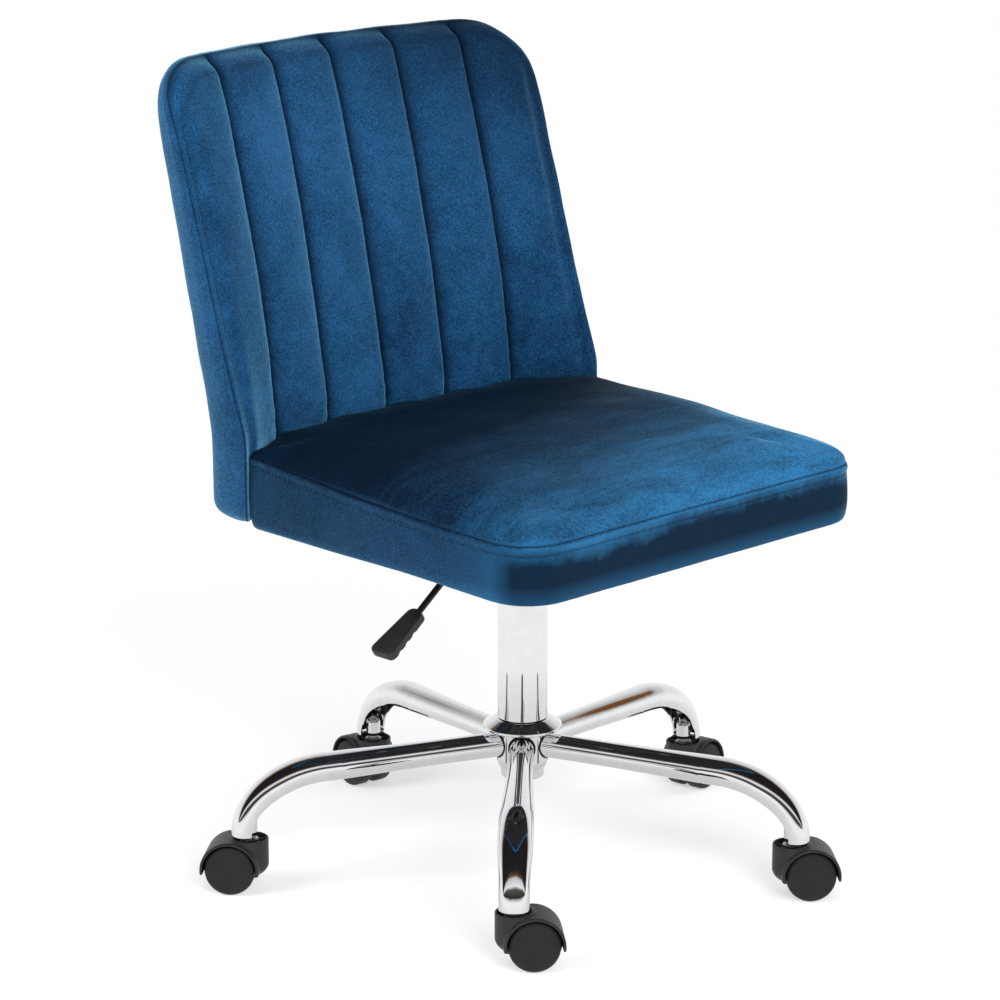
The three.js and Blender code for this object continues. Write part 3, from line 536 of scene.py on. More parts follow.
LEG_STRAIGHT_END = 199.5
LEG_ROOT_Z = 127.7
LEG_BEND_Z = 121.0
LEG_BEND_REACH = 85.0  # the half axes of the elliptical bend
LEG_BEND_DROP = 62.0
LEG_WALL = 1.8
LEG_OPEN_FROM = 188.0
LEG_ARC = 22  # points from the top of the section to each lip
CUT_ALONG = (-11.5, 0, 10, 25, 45, 60, 75, 90)  # millimetres before the bend, then degrees round it
CUT_DEPTH = (0, 2.0, 3.4, 4.6, 6.0, 8.2, 10.2, 11.6)  # how much of the tube is gone underneath
HUB_R = 26.0
WELD_R = 13.0
WELD_SIDES = 8


def leg_centre(radius, bend):
    """Radius, height and tilt of the centre line, on the straight part or at an angle of the bend."""
    if bend is None:
        slope = (LEG_ROOT_Z - LEG_BEND_Z) / (LEG_STRAIGHT_END - HUB_R)
        return radius, LEG_BEND_Z + (LEG_STRAIGHT_END - radius) * slope, -math.atan(slope)
    tilt = -math.atan2(LEG_BEND_DROP * math.sin(bend), LEG_BEND_REACH * math.cos(bend))
    height = LEG_BEND_Z - LEG_BEND_DROP * (1 - math.cos(bend))
    return LEG_STRAIGHT_END + LEG_BEND_REACH * math.sin(bend), height, tilt


def leg_ring(radius, bend):
    """The outer and inner section of the tube, and whether it is whole there, or cut open underneath."""
    radius, z, tilt = leg_centre(radius, bend)
    to_bend = float(smoothstep(radius, 70, 238))
    half_w = (25 + 9 * to_bend - 4.4 * float(smoothstep(radius, 248, 284))) / 2
    half_h = (25 + 3.4 * to_bend - 0.4 * float(smoothstep(radius, 248, 284))) / 2
    power = 1 - 0.13 * to_bend
    along = radius - LEG_STRAIGHT_END if bend is None else math.degrees(bend)
    cut = float(np.interp(along, CUT_ALONG, CUT_DEPTH))
    lip = -math.asin((1 - cut / half_h) ** (1 / power))
    angles = np.concatenate([np.linspace(lip, math.pi / 2, LEG_ARC + 1),
                             np.linspace(math.pi / 2, math.pi - lip, LEG_ARC + 1)[1:]])
    shells = []
    for shrink in (0, LEG_WALL):
        side = (half_w - shrink) * np.sign(np.cos(angles)) * np.abs(np.cos(angles)) ** power
        rise = (half_h - shrink) * np.sign(np.sin(angles)) * np.abs(np.sin(angles)) ** power
        shells.append(np.stack([radius - rise * math.sin(tilt), side, z + rise * math.cos(tilt)], 1))
    return shells, cut <= 0


def strip(first, second):
    """Faces between two rows of vertices."""
    return [[first[i], second[i], second[i + 1], first[i + 1]] for i in range(len(first) - 1)]


def leg_shape():
    """A leg along +X: a tube with a wall, open underneath from before its bend to its end."""
    steps = [(r, None) for r in (*np.linspace(17, LEG_OPEN_FROM, 26), 191.5, 195.5)]
    steps += [(None, b) for b in np.linspace(0, math.pi / 2, 30)]
    points, faces, before = [], [], None
    for radius, bend in steps:
        shells, whole = leg_ring(radius, bend)
        rows = []
        for shell in shells:
            start = len(points)
            row = list(range(start, start + len(shell)))
            if whole:  # both lips meet, so the last point is the first
                row[-1] = start
                shell = shell[:-1]
            points.extend(shell)
            rows.append(row)
        outer, inner = rows
        if before is None:
            faces += strip(outer, inner)
        else:
            faces += strip(outer, before[0]) + strip(before[1], inner)
            if not whole:
                faces.append([before[0][0], outer[0], inner[0], before[1][0]])
                faces.append([before[1][-1], inner[-1], outer[-1], before[0][-1]])
        before = rows
    return np.array(points), faces + strip(before[1], before[0])


def weld_shape():
    """The rim round a leg's root along +X, where it goes through the wall of the hub."""
    rings = []
    for angle in (FULL_TURN * k / 48 for k in range(48)):
        side, rise = WELD_R * math.cos(angle), WELD_R * math.sin(angle)
        thick = 0.75 + 0.75 * max(0, math.sin(angle))
        middle = np.array([math.sqrt((HUB_R + 0.2) ** 2 - side ** 2), side, LEG_ROOT_Z + rise])
        outward = np.array([0, math.cos(angle), math.sin(angle)])
        forward = np.array([1.0, 0, 0])
        rings.append([middle + thick * (math.cos(t) * outward + 0.7 * math.sin(t) * forward)
                      for t in np.linspace(0, FULL_TURN, WELD_SIDES, endpoint=False)])
    points, faces = lofted(rings, joined=True)
    return np.array(points), faces


def make_legs():
    tube, tube_faces = leg_shape()
    rim, rim_faces = weld_shape()
    for number in range(1, LEGS + 1):
        stem = node_centre(f"caster_stem_{number}")
        heading = math.atan2(stem.y - AXIS[1], stem.x - AXIS[0])
        turn = np.array(Matrix.Rotation(heading, 3, "Z")).T
        show(f"leg_shell_{number}", f"leg_{number}", "chrome", (tube @ turn, tube_faces), 35)
        # the rim at the weld is coloured as painted shadow
        weld = place_mesh(f"leg_weld_{number}", rim @ turn, rim_faces, PAINTED_WELD_SHADOW)
        declare(weld, f"leg_{number}", False)
        make_socket(number, Matrix.Translation((stem.x, stem.y, 0)))


def make_socket(number, matrix):
    """The welded tube at the end of a leg, and the caster's stem in it."""
    profile = [(5.8, 58.2), (7.6, 58.2), (7.6, 73), (6.9, 74), (5.8, 74)]
    show(f"socket_tube_{number}", f"stem_socket_{number}", "chrome", turned(rounded(profile, 0.4, 2), 40), 35,
         matrix)
    profile = [(0, 33.5), (3.2, 33.5), (3.2, 48.6), (5.5, 48.6), (5.5, 52.6), (8.5, 52.6), (8.5, 54.4),
               (5.5, 54.4), (5.5, 73.6), (4.6, 76), (2.6, 77.5), (0, 78)]
    pin = turned(rounded(profile, 0.4, 2, False), 36, False)
    show(f"stem_pin_{number}", f"caster_stem_{number}", "steel", pin, 35, matrix)


def make_lift():
    tube = [(7, 94), (21.4, 94), (22.6, 155.3), (25, 155.6), (25, 300), (23.4, 300), (23.4, 160), (19.4, 152),
            (19.4, 97), (7, 97)]
    show("lift_column", "lift_outer_tube", "chrome", turned(rounded(tube, 0.7), 96), 30)
    guide = [(14.3, 216), (22.9, 216), (22.9, 299.4), (14.3, 299.4)]
    show("lift_guide", "lift_guide_bushing", "bushing_plastic", turned(rounded(guide, 0.8), 64), 30)
    inner = [(5.3, 106), (14, 106), (14, 307), (13.4, 340), (4.3, 340), (4.3, 304), (12, 300), (12, 113),
             (5.3, 113)]
    show("lift_inner_tube", "lift_pressure_tube", "black_steel", turned(rounded(inner, 0.6), 64), 30)


# ---------- Casters ----------
TRAIL = 18.0
WHEEL_R = 25.0
WHEEL_INNER = 4.9  # from the middle of the axle to the inner face of a wheel
WHEEL_SIDES = 80
HOOD_SIDE = 22.0
HOOD_STEP = 0.7
HOOD_LOW, HOOD_HIGH = (-21.0, -24.5, 10.5), (50.5, 24.5, 58.0)


def surface_net(field, low, step):
    """Points and faces of the surface where a field of distances on a regular grid goes through zero."""
    inside = field < 0
    cells = tuple(n - 1 for n in field.shape)
    total, count = np.zeros((*cells, 3)), np.zeros(cells)

    def corner(offset):
        return field[tuple(slice(o, o + n) for o, n in zip(offset, cells))]

    for axis in range(3):
        first, second = [a for a in range(3) if a != axis]
        for u, v in ((0, 0), (0, 1), (1, 0), (1, 1)):
            start = [0, 0, 0]
            start[first], start[second] = u, v
            end = list(start)
            end[axis] = 1
            a, b = corner(start), corner(end)
            crossed = (a < 0) != (b < 0)
            spot = np.broadcast_to(np.array(start, float), total.shape).copy()
            spot[..., axis] = np.where(crossed, a / np.where(crossed, a - b, 1), 0)
            total += spot * crossed[..., None]
            count += crossed
    used = count > 0
    number = np.full(cells, -1)
    number[used] = np.arange(used.sum())
    points = (np.argwhere(used) + total[used] / count[used][:, None]) * step + low
    faces = []
    for axis in range(3):
        first, second = [a for a in range(3) if a != axis]
        here = [slice(1, -1)] * 3
        here[axis] = slice(0, -1)
        there = list(here)
        there[axis] = slice(1, None)
        a, b = inside[tuple(here)], inside[tuple(there)]
        edges = np.argwhere(a != b)
        outward = a[tuple(edges.T)]
        quad = []
        for u, v in ((0, 0), (1, 0), (1, 1), (0, 1)):
            cell = edges.copy()
            cell[:, first] += u
            cell[:, second] += v
            quad.append(number[tuple(cell.T)])
        quad = np.stack(quad, 1)
        flip = outward if axis == 1 else ~outward
        quad[flip] = quad[flip][:, ::-1]
        faces.append(quad)
    return points, np.concatenate(faces)


def soft_max(a, b, radius):
    """The intersection of two solids, with the edge between them rounded."""
    return np.maximum(a, b) + np.maximum(radius - np.abs(a - b), 0) ** 2 / (4 * radius)


def soft_min(a, b, radius):
    return -soft_max(-a, -b, radius)


def hood_shape():
    """The caster's hood about its swivel axis, with the wheels trailing along +X; soft moulded edges."""
    axes = [np.arange(a, b, HOOD_STEP) for a, b in zip(HOOD_LOW, HOOD_HIGH)]
    x, y, z = np.meshgrid(*axes, indexing="ij")
    from_axle = np.hypot(x - TRAIL, z - WHEEL_R)
    from_stem = np.hypot(x, y)
    wide = np.abs(y)
    fender = soft_max(soft_max(from_axle - 29.6, wide - HOOD_SIDE, 2.2), 20.8 - z, 1.0)
    cone = from_stem - 18.5 + np.maximum(29 - z, 0) ** 2 * 0.055
    collar = soft_max(soft_max(cone, z - 55, 1.2), 19.8 - z, 1.5)
    shell = soft_min(fender, collar, 3.0)
    room = soft_max(from_axle - 27.0, 4.6 - wide, 1.2)
    shell = soft_max(shell, -room, 0.6)
    web = soft_max(soft_max(from_axle - 27.6, wide - 4.6, 0.6), 13.6 - z, 1.0)
    shell = np.minimum(shell, web)
    recess = np.maximum(np.maximum(9.4 - from_stem, from_stem - 16.6), 47.5 - z)
    angle = np.mod(np.arctan2(y, x), math.pi / 3) - math.pi / 6
    rib = np.maximum(np.abs(np.sin(angle)) * from_stem - 0.75, z - 52.6)
    shell = soft_max(shell, -soft_max(recess, -rib, 0.5), 0.7)
    bore = np.minimum(np.maximum(from_stem - 3.6, z - 48.5), np.maximum(from_stem - 5.9, 48.3 - z))
    bore = np.minimum(bore, np.maximum(from_stem - 9.4, 52.2 - z))
    shell = np.maximum(shell, -bore)
    axle_hole = 3.4 - from_axle
    return surface_net(np.maximum(shell, axle_hole), np.array(HOOD_LOW), HOOD_STEP)


def wheel_shape():
    """One wheel about Z with its inner face at 0 and its slightly domed outer face up."""
    profile = [(3.3, 0), (23.2, 0), (24.4, 0.6), (25, 1.6), (25, 4), (25, 8), (25, 11.6), (24.7, 13.2),
               (23.9, 14.7), (22.4, 15.7), (20.2, 16.15), (14, 16.45), (7, 16.58), (0, 16.6)]
    points, faces = turned(profile, WHEEL_SIDES, False)
    return points, faces + [list(range(WHEEL_SIDES))[::-1]]


def make_casters():
    hood, wheel = hood_shape(), wheel_shape()
    for number in range(1, LEGS + 1):
        stem = node_centre(f"caster_stem_{number}")
        sides = {side: node_centre(f"caster_wheel_{number}_{side}") for side in ("left", "right")}
        axle = (sides["left"] + sides["right"]) / 2
        heading = math.atan2(axle.y - stem.y, axle.x - stem.x)
        place = Matrix.Translation((stem.x, stem.y, 0)) @ Matrix.Rotation(heading, 4, "Z")
        show(f"hood_{number}", f"caster_hood_{number}", "hood_plastic", hood, None, place)
        for side, centre in sides.items():
            out = (centre - axle).normalized()
            turn = out.to_track_quat("Z", "Y").to_matrix().to_4x4()
            place = Matrix.Translation(axle + out * WHEEL_INNER * MM) @ turn
            show(f"wheel_{number}_{side}", f"caster_wheel_{number}_{side}", "wheel_plastic", wheel, 50, place)


# ---------- Lever ----------
PIVOT = np.array([-28.0, 0, 347.6])
BAR_R = 3.25
PADDLE_START = np.array([-143.0, 0, 293.0])
PADDLE_SLOPE = math.radians(33)
PADDLE_LENGTH = 60.0
PADDLE_CORNER = 9.0
PADDLE_EDGE = 3.0  # how far from its end the paddle gets thinner
GROOVES = (22, 34, 46)


def bar_shape():
    """The bent round bar from the mechanism into the paddle."""
    bend = [PIVOT + p for p in ((-3, 0, 0), (-36, 0, -1), (-45.5, 0, -1.6), (-54, 0, -9))]
    heading = np.array([-math.cos(PADDLE_SLOPE), 0, -math.sin(PADDLE_SLOPE)])
    path = [bend[0], bend[1]] + [quadratic(*bend[1:], t) for t in np.linspace(0.1, 1, 10)]
    path += [PADDLE_START - heading * 2, PADDLE_START + heading * 10]
    across = np.array([0, 1.0, 0])
    rings = []
    for i, point in enumerate(path):
        ahead = path[min(i + 1, len(path) - 1)] - path[max(i - 1, 0)]
        up = np.cross(ahead / np.linalg.norm(ahead), across)
        rings.append([point + BAR_R * (math.cos(t) * across + math.sin(t) * up)
                      for t in np.linspace(0, FULL_TURN, 28, endpoint=False)])
    return lofted(rings)


def paddle_ring(s):
    """The paddle's section at a distance along it: along, side and height."""
    from_end = s - PADDLE_LENGTH
    half = 6.5 + s if s < 3 else 9.5 + (s - 3) / 57 * 6.5
    if from_end > -PADDLE_CORNER:
        half -= PADDLE_CORNER * (1 - math.sqrt(max(1 - (from_end / PADDLE_CORNER + 1) ** 2, 0.0)))
    edge = 1.0 if from_end < -PADDLE_EDGE else math.sqrt(max(1 - ((from_end + 3) / PADDLE_EDGE) ** 2, 0.05))
    groove = sum(1.5 * max(0, 1 - ((s - g) / 3.6) ** 2) for g in GROOVES)
    low, high = -5.5 * edge + groove, 4.5 * edge
    ring = []
    for t in np.linspace(0, FULL_TURN, 44, endpoint=False):
        c, q = math.cos(t), math.sin(t)
        side = half * math.copysign(abs(c) ** 0.24, c)
        rise = math.copysign(abs(q) ** 0.24, q)
        level = high * rise if rise > 0 else -low * rise
        if rise > 0.9:  # a ridge that runs out of the bar, and then a dish for the fingers
            level += 1.5 * math.exp(-((side - 1.5) / 4.0) ** 2) * max(0, 1 - s / 26)
            level -= 0.7 * max(0, 1 - (side / (half + 0.1)) ** 2) * float(smoothstep(s, 14, 32))
        ring.append((s, side, level))
    return ring


def make_lever():
    show("lever_bar", "lever_rod", "black_steel", bar_shape())
    rounding = PADDLE_LENGTH - 8 * (1 - np.sin(np.linspace(0.05, math.pi / 2, 12)))
    stations = np.concatenate([np.linspace(0, 4, 4), np.linspace(5.5, 52, 40), rounding])
    points, faces = lofted([paddle_ring(s) for s in stations])
    c, s = math.cos(PADDLE_SLOPE), math.sin(PADDLE_SLOPE)
    points = np.array(points) @ np.array([[-c, 0, -s], [0, -1, 0], [-s, 0, c]]) + PADDLE_START
    show("lever_handle", "lever_paddle", "paddle_plastic", (points, faces), 50)


# ---------- Upholstery: covers, cloth and stitches ----------
def grid_border(rows, columns):
    """The grid indices (row, column) round its border, from the first corner along the first row."""
    border = [(0, j) for j in range(columns)] + [(i, columns) for i in range(rows)]
    border += [(rows, j) for j in range(columns, 0, -1)] + [(i, 0) for i in range(rows, 0, -1)]
    return border


class Cover:
    """A closed cover made of a front grid, loops of points round its border, and a rear grid."""

    def __init__(self, front, loops, rear):
        self.rows, self.columns = front.shape[0] - 1, front.shape[1] - 1
        self.border = grid_border(self.rows, self.columns)
        self.width = self.columns + 1
        self.front_count = front.shape[0] * self.width
        self.points = np.concatenate([front.reshape(-1, 3), *loops, rear.reshape(-1, 3)])
        count = len(self.border)
        base = self.front_count + len(loops) * count
        self.rings = [[i * self.width + j for i, j in self.border]]
        self.rings += [list(range(start, start + count)) for start in range(self.front_count, base, count)]
        self.rings.append([base + v for v in self.rings[0]])
        self.faces = []
        for i in range(self.rows):
            for j in range(self.columns):
                a = i * self.width + j
                face = [a, a + 1, a + self.width + 1, a + self.width]
                self.faces += [face, [base + face[k] for k in (0, 3, 2, 1)]]
        for near, far in zip(self.rings, self.rings[1:]):
            for k in range(count):
                m = (k + 1) % count
                self.faces.append([near[k], far[k], far[m], near[m]])

    def column(self, j, loops):
        """Vertices down one column of the front grid, and on through the first loops at both of its ends."""
        chain = [i * self.width + j for i in range(self.rows + 1)]
        low, high = self.border.index((0, j)), self.border.index((self.rows, j))
        for ring in self.rings[1:loops + 1]:
            chain = [ring[low]] + chain + [ring[high]]
        return chain

    def loop(self, number):
        return self.rings[number] + self.rings[number][:1]

    def rear_vertices(self):
        return range(self.rings[-1][0], len(self.points))


def crease(obj, chains):
    """Makes the edges along chains of vertices sharp under subdivision: chains is [(vertices, sharpness)]."""
    wanted = {frozenset(edge): sharpness for chain, sharpness in chains for edge in zip(chain, chain[1:])}
    attribute = obj.data.attributes.new("crease_edge", "FLOAT", "EDGE")
    for edge in obj.data.edges:
        attribute.data[edge.index].value = wanted.get(frozenset(edge.vertices), 0.0)


def paint_seam_shade(obj, chains):
    """Paints shade into the velvet's colour along the chains of vertices, each with its strength: painted shade
    in and beside the seams.
    """
    attribute = obj.data.attributes.new("sewn", "FLOAT", "POINT")
    for chain, strength in chains:
        for vertex in chain:
            attribute.data[vertex].value = strength


def inflate(obj, held, pressure, cap, frames=20):
    """Swells the cover by cloth simulation. held says which vertices are sewn down, and how firmly, as a list
    of (vertices, weight) in which the later ones count; cap is how far a point may move, in millimetres."""
    group = obj.vertex_groups.new(name="held")
    for vertices, weight in held:
        group.add(list(vertices), weight, "REPLACE")
    rest = np.array([v.co for v in obj.data.vertices])
    cloth = obj.modifiers.new("Cloth", "CLOTH")
    settings = cloth.settings
    settings.quality = 6
    settings.mass = 0.25
    settings.tension_stiffness = settings.compression_stiffness = 22
    settings.shear_stiffness = 12
    settings.bending_stiffness = 0.6
    settings.use_pressure = True
    settings.uniform_pressure_force = pressure
    settings.vertex_group_mass = "held"
    settings.effector_weights.gravity = 0
    cloth.collision_settings.use_collision = False
    cloth.point_cache.frame_end = frames
    for number in range(1, frames + 1):
        bpy.context.scene.frame_set(number)
    swollen = obj.evaluated_get(bpy.context.evaluated_depsgraph_get()).to_mesh()
    moved = np.array([v.co for v in swollen.vertices]) - rest
    obj.modifiers.remove(cloth)
    obj.vertex_groups.clear()
    distance = np.linalg.norm(moved, axis=1, keepdims=True) + 1e-9
    moved *= cap * MM * np.tanh(distance / (cap * MM)) / distance
    obj.data.vertices.foreach_set("co", (rest + moved).astype(np.float32).ravel())
    obj.data.update()
    bpy.context.scene.frame_set(1)


def subdivide(obj, levels):
    """Works a subdivision into the mesh."""
    modifier = obj.modifiers.new("fine", "SUBSURF")
    modifier.levels = modifier.render_levels = levels
    fine = obj.evaluated_get(bpy.context.evaluated_depsgraph_get())
    mesh = bpy.data.meshes.new_from_object(fine)
    obj.modifiers.clear()
    obj.data = mesh
    mesh.polygons.foreach_set("use_smooth", [True] * len(mesh.polygons))


def pucker(obj, amount):
    """Small unevenness of the padding and pull of the seams, moved into the mesh along its normals.
    amount(point) gives the height of the fine and of the broad part, in millimetres."""
    mesh = obj.data
    origin = Vector(AXIS)
    normals = [v.normal.copy() for v in mesh.vertices]
    for vertex, normal in zip(mesh.vertices, normals):
        local = (vertex.co - origin) / MM
        fine, broad = amount(local)
        height = fine * noise.noise(local * 0.11) + broad * noise.noise(local * 0.021 + Vector((7, 3, 1)))
        vertex.co += normal * (height * MM)
    mesh.update()


STITCH_PITCH, STITCH_LENGTH, STITCH_R = 4.6, 3.5, 0.42
STITCH_RISE = ((0.0, -0.35), (0.2, 0.12), (0.5, 0.24), (0.8, 0.12), (1.0, -0.35))  # over the cover, along it
STITCH_SIDES = 6


def stitches(name, obj, paths):
    """Single stitches of thread along paths, which are lists of points in millimetres near the cover."""
    tree = BVHTree.FromObject(obj, bpy.context.evaluated_depsgraph_get())
    points, faces = [], []
    for path in paths:
        line = np.array(path, float)
        travelled = np.concatenate([[0], np.cumsum(np.linalg.norm(np.diff(line, axis=0), axis=1))])
        for start in np.arange(0.5, travelled[-1] - STITCH_LENGTH, STITCH_PITCH):
            middle = []
            for share, lift in STITCH_RISE:
                at = start + share * STITCH_LENGTH
                spot = np.array([np.interp(at, travelled, line[:, axis]) for axis in range(3)]) * MM + AXIS
                found, normal, _, _ = tree.find_nearest(Vector(spot))
                middle.append((np.array(found + normal * lift * MM), np.array(normal), share))
            ahead = middle[-1][0] - middle[0][0]
            if np.linalg.norm(ahead) < 1e-6:
                continue
            ahead /= np.linalg.norm(ahead)
            rings = []
            for place, normal, share in middle:
                across = np.cross(ahead, normal)
                across /= np.linalg.norm(across) + 1e-12
                thick = STITCH_R * (0.55 if share in (0.0, 1.0) else 1.0) * MM
                wide, tall = thick * across, 0.8 * thick * normal
                rings.append([(place + math.cos(t) * wide + math.sin(t) * tall - AXIS) / MM
                              for t in np.linspace(0, FULL_TURN, STITCH_SIDES, endpoint=False)])
            stitch, sides = lofted(rings)
            faces += [[len(points) + v for v in side] for side in sides]
            points += stitch
    return place_mesh(name, points, faces, THREAD, None)


# ---------- Back ----------
BACK_HALF, BACK_LOW, BACK_HIGH, BACK_CORNER = 245.0, 371.0, 811.0, 60.0
CHANNEL = 81.5
CHANNEL_DEPTH = 7.4
FLANK = 4.8  # how much of that depth lies in the steep part beside a seam
SEAMS = [k * CHANNEL for k in (-2, -1, 0, 1, 2)]
LAST_STRAIGHT = 185.0  # x of the outermost column that doesn't run into a corner
FAN = 4  # columns that do, on each side
LAYER = 24.0  # how far inside the outline the grid of the front ends
REAR_CORNER = 22.0
REAR_CORNER_TOP = 16.5
BACK_SIDE_ROWS = 36
BACK_ARC_ROWS = 4
BACK_ROWS = BACK_SIDE_ROWS + BACK_ARC_ROWS
SEAM_SHADE_STEPS = ((-1.5, 0.5), (12.0, 0.10), (4.5, 0.46), (1.5, 0.85), (0.0, 1.0))  # painted shade beside a seam: offset from it, and strength
FRONT_EDGE = (  # how the front panel runs over its edge: inset and roll to the rear, at the side and at the top
    (16, 0.0, 19, 0.05), (8, 0.4, 13, 1.3), (5, 0.2, 7.5, 4.4), (2.0, 1.3, 3.0, 9.5), (0.5, 3.2, 0.5, 15.5))
EDGE_SEAM_LOOP = 5  # the loop of the back's cover where the front panel meets the band
BACK_STITCH_LOOP = 2
REAR_PANEL_INSET = 17.5
BACK_BOARD_INSET = 11.0


def back_front(x, z):
    """y of the front of the back, as the CAD has it."""
    above = np.maximum(z - 460.0, 0)
    centre = 196 + 0.1556 * above + 0.000243 * above ** 2
    wing = 36 + 30 * np.exp(-above / 120)
    power = 1.6 + 2 * np.exp(-above / 110)
    return centre - wing * (np.abs(x) / BACK_HALF) ** power


def back_rear(x, z):
    above = np.maximum(z - 455.0, 0)
    return 235 + 0.238 * above - 43 * (x / BACK_HALF) ** 2


def on(surface, spots, lift=0.0):
    """Points on the front or the rear of the back over spots in x and z, moved to the rear by lift."""
    x, z = spots[..., 0], spots[..., 1]
    return np.stack([x, surface(x, z) + lift, z], -1)


def back_columns():
    """x of the columns, and for the outer ones how they run into the corner: (x, angle of the corner)."""
    steps = (0.0, 1.5, 4.5, 12.0, 28.0, 53.5, 69.5, 77.0, 80.0)
    inner = [start + step for start in SEAMS[:-1] for step in steps] + [SEAMS[-1]]
    outer = [(x, None) for x in (164.5, 167.5, 175.0, LAST_STRAIGHT)]
    outer += [(None, angle) for angle in (78.75, 67.5, 56.25, 45.0)]
    left = [(None if x is None else -x, a) for x, a in outer][::-1]
    return left + [(x, None) for x in inner] + outer


COLUMNS = back_columns()
LAST = len(COLUMNS) - 1


def back_corner(inset, degrees):
    """A point of the upper right corner of the back's outline moved in by inset, in x and z."""
    radius, angle = BACK_CORNER - inset, math.radians(degrees)
    x, z = BACK_HALF - BACK_CORNER, BACK_HIGH - BACK_CORNER
    return x + radius * math.cos(angle), z + radius * math.sin(angle)


def back_ring(inset):
    """The outline moved in by inset, one point for each border point of the front's grid, in x and z."""
    low, straight = BACK_LOW + inset, BACK_HIGH - BACK_CORNER
    cut = 0.3 * max(14.0 - inset, 3.0)  # the small lower corner
    reach = BACK_HALF - inset - cut
    ring = []
    for i, j in grid_border(BACK_ROWS, LAST):
        x, angle = COLUMNS[j]
        steps = min(j, LAST - j)
        if i == 0 and x is not None:
            spot = (x, low)
        elif i == 0:
            out = LAST_STRAIGHT + (reach - LAST_STRAIGHT) * (1 - steps / FAN)
            spot = (math.copysign(out, j - LAST / 2), low + (cut if steps == 0 else 0))
        elif i == BACK_ROWS and x is not None:
            spot = (x, BACK_HIGH - inset)
        else:
            if i == BACK_ROWS:
                spot = back_corner(inset, angle)
            elif i <= BACK_SIDE_ROWS:
                spot = (BACK_HALF - inset, low + cut + (straight - low - cut) * i / BACK_SIDE_ROWS)
            else:
                spot = back_corner(inset, 45.0 * (i - BACK_SIDE_ROWS) / BACK_ARC_ROWS)
            if j < LAST / 2:
                spot = (-spot[0], spot[1])
        ring.append(spot)
    return np.array(ring)


def back_grid(inset):
    """x and z of the grid inside the outline moved in by inset; the seams are its straight columns."""
    border = dict(zip(grid_border(BACK_ROWS, LAST), back_ring(inset)))
    high, straight = BACK_HIGH - inset, BACK_HIGH - BACK_CORNER
    grid = np.zeros((BACK_ROWS + 1, LAST + 1, 2))
    for i in range(BACK_ROWS + 1):
        edge = border[(i, LAST)]
        z = edge[1]
        if i > BACK_SIDE_ROWS:
            z = straight + (high - straight) * (i - BACK_SIDE_ROWS) / BACK_ARC_ROWS
        rise = float(smoothstep(z, straight, high))
        for j in range(LAST + 1):
            x = COLUMNS[j][0]
            if (i, j) in border:
                grid[i, j] = border[(i, j)]
            elif x is not None:
                grid[i, j] = (x, z)
            else:
                steps = min(j, LAST - j)
                share = 1 - steps / FAN
                chord = np.array([LAST_STRAIGHT, z]) * (1 - share) + edge * share
                top = np.array([LAST_STRAIGHT, high]) * (1 - share) + border[(BACK_ROWS, LAST)] * share
                spot = chord + (border[(BACK_ROWS, LAST - steps)] - top) * rise
                grid[i, j] = (math.copysign(spot[0], j - LAST / 2), spot[1])
    return grid


def back_cover():
    """Front panel with its channels, and the band that runs round the edge on to the rear."""
    grid = back_grid(LAYER)
    outline = back_ring(0.0)
    top = smoothstep(outline[:, 1], 745, 800)  # 0 along the sides, 1 over the top

    def mixed(at_side, at_top):
        return back_ring(at_side) * (1 - top[:, None]) + back_ring(at_top) * top[:, None]

    loops = []
    for side_inset, side_roll, top_inset, top_roll in FRONT_EDGE:
        roll = side_roll * (1 - top) + top_roll * top
        loops.append(on(back_front, mixed(side_inset, top_inset), roll))
    edge = mixed(0.3, 0.6)
    radius = REAR_CORNER * (1 - top) + REAR_CORNER_TOP * top
    near = on(back_front, edge, 5 * (1 - top) + 21.5 * top)[:, 1]
    far = np.maximum(on(back_rear, edge, -radius)[:, 1], near + 1.5)
    for share in (0.0, 0.2, 0.4, 0.6, 0.8, 1.0):
        swell = mixed(0.3 - 1.2 * math.sin(math.pi * share), 0.6)
        loops.append(np.stack([swell[:, 0], near + (far - near) * share, swell[:, 1]], 1))
    for angle in (25.0, 50.0, 75.0):
        c, s = math.cos(math.radians(angle)), math.sin(math.radians(angle))
        loops.append(on(back_rear, mixed(0.5 + 17 * (1 - c), 0.5 + 16 * (1 - c)), -radius * (1 - s)))
    for inset, drop in ((17.2, 0.0), (19.4, 0.5), (20.8, 2.8), (22, 7.0)):
        loops.append(on(back_rear, back_ring(inset), -drop))
    return Cover(on(back_front, grid), loops, on(back_rear, grid, -9.0))


def channel_rise(x):
    """How far the padding of a channel stands above its seams: steep beside them, then gently domed."""
    if abs(x) < 2 * CHANNEL:
        place = abs(x) % CHANNEL
        from_seam, dome = min(place, CHANNEL - place), math.sin(math.pi * place / CHANNEL)
    else:
        from_seam = abs(x) - 2 * CHANNEL
        dome = math.sin(math.pi * min(from_seam / 110, 0.5))
    slit = 1.8 * math.exp(-(from_seam / 1.3) ** 2)
    return FLANK * (1 - math.exp(-from_seam / 5.5)) + (CHANNEL_DEPTH - FLANK) * dome - slit


def channels_pressed(cover):
    """The cover's points with its channels a little swollen and its seams a little drawn in."""
    points = cover.points.copy()
    for k in range(cover.front_count):
        x, _, z = points[k]
        points[k, 1] -= channel_rise(x) * float(smoothstep(z, 424, 446))
    for number, ring in enumerate(cover.rings[1:EDGE_SEAM_LOOP]):
        turn = math.radians(16 * number)
        for k in ring:
            x, _, z = points[k]
            over = float(smoothstep(z, 745, 785))
            points[k, 1] -= channel_rise(x) * math.cos(turn) * over
            points[k, 2] += (channel_rise(x) - CHANNEL_DEPTH) * math.sin(turn) * over
    points[:, 2] -= 3.0 * smoothstep(points[:, 2], 690, 800)
    return points


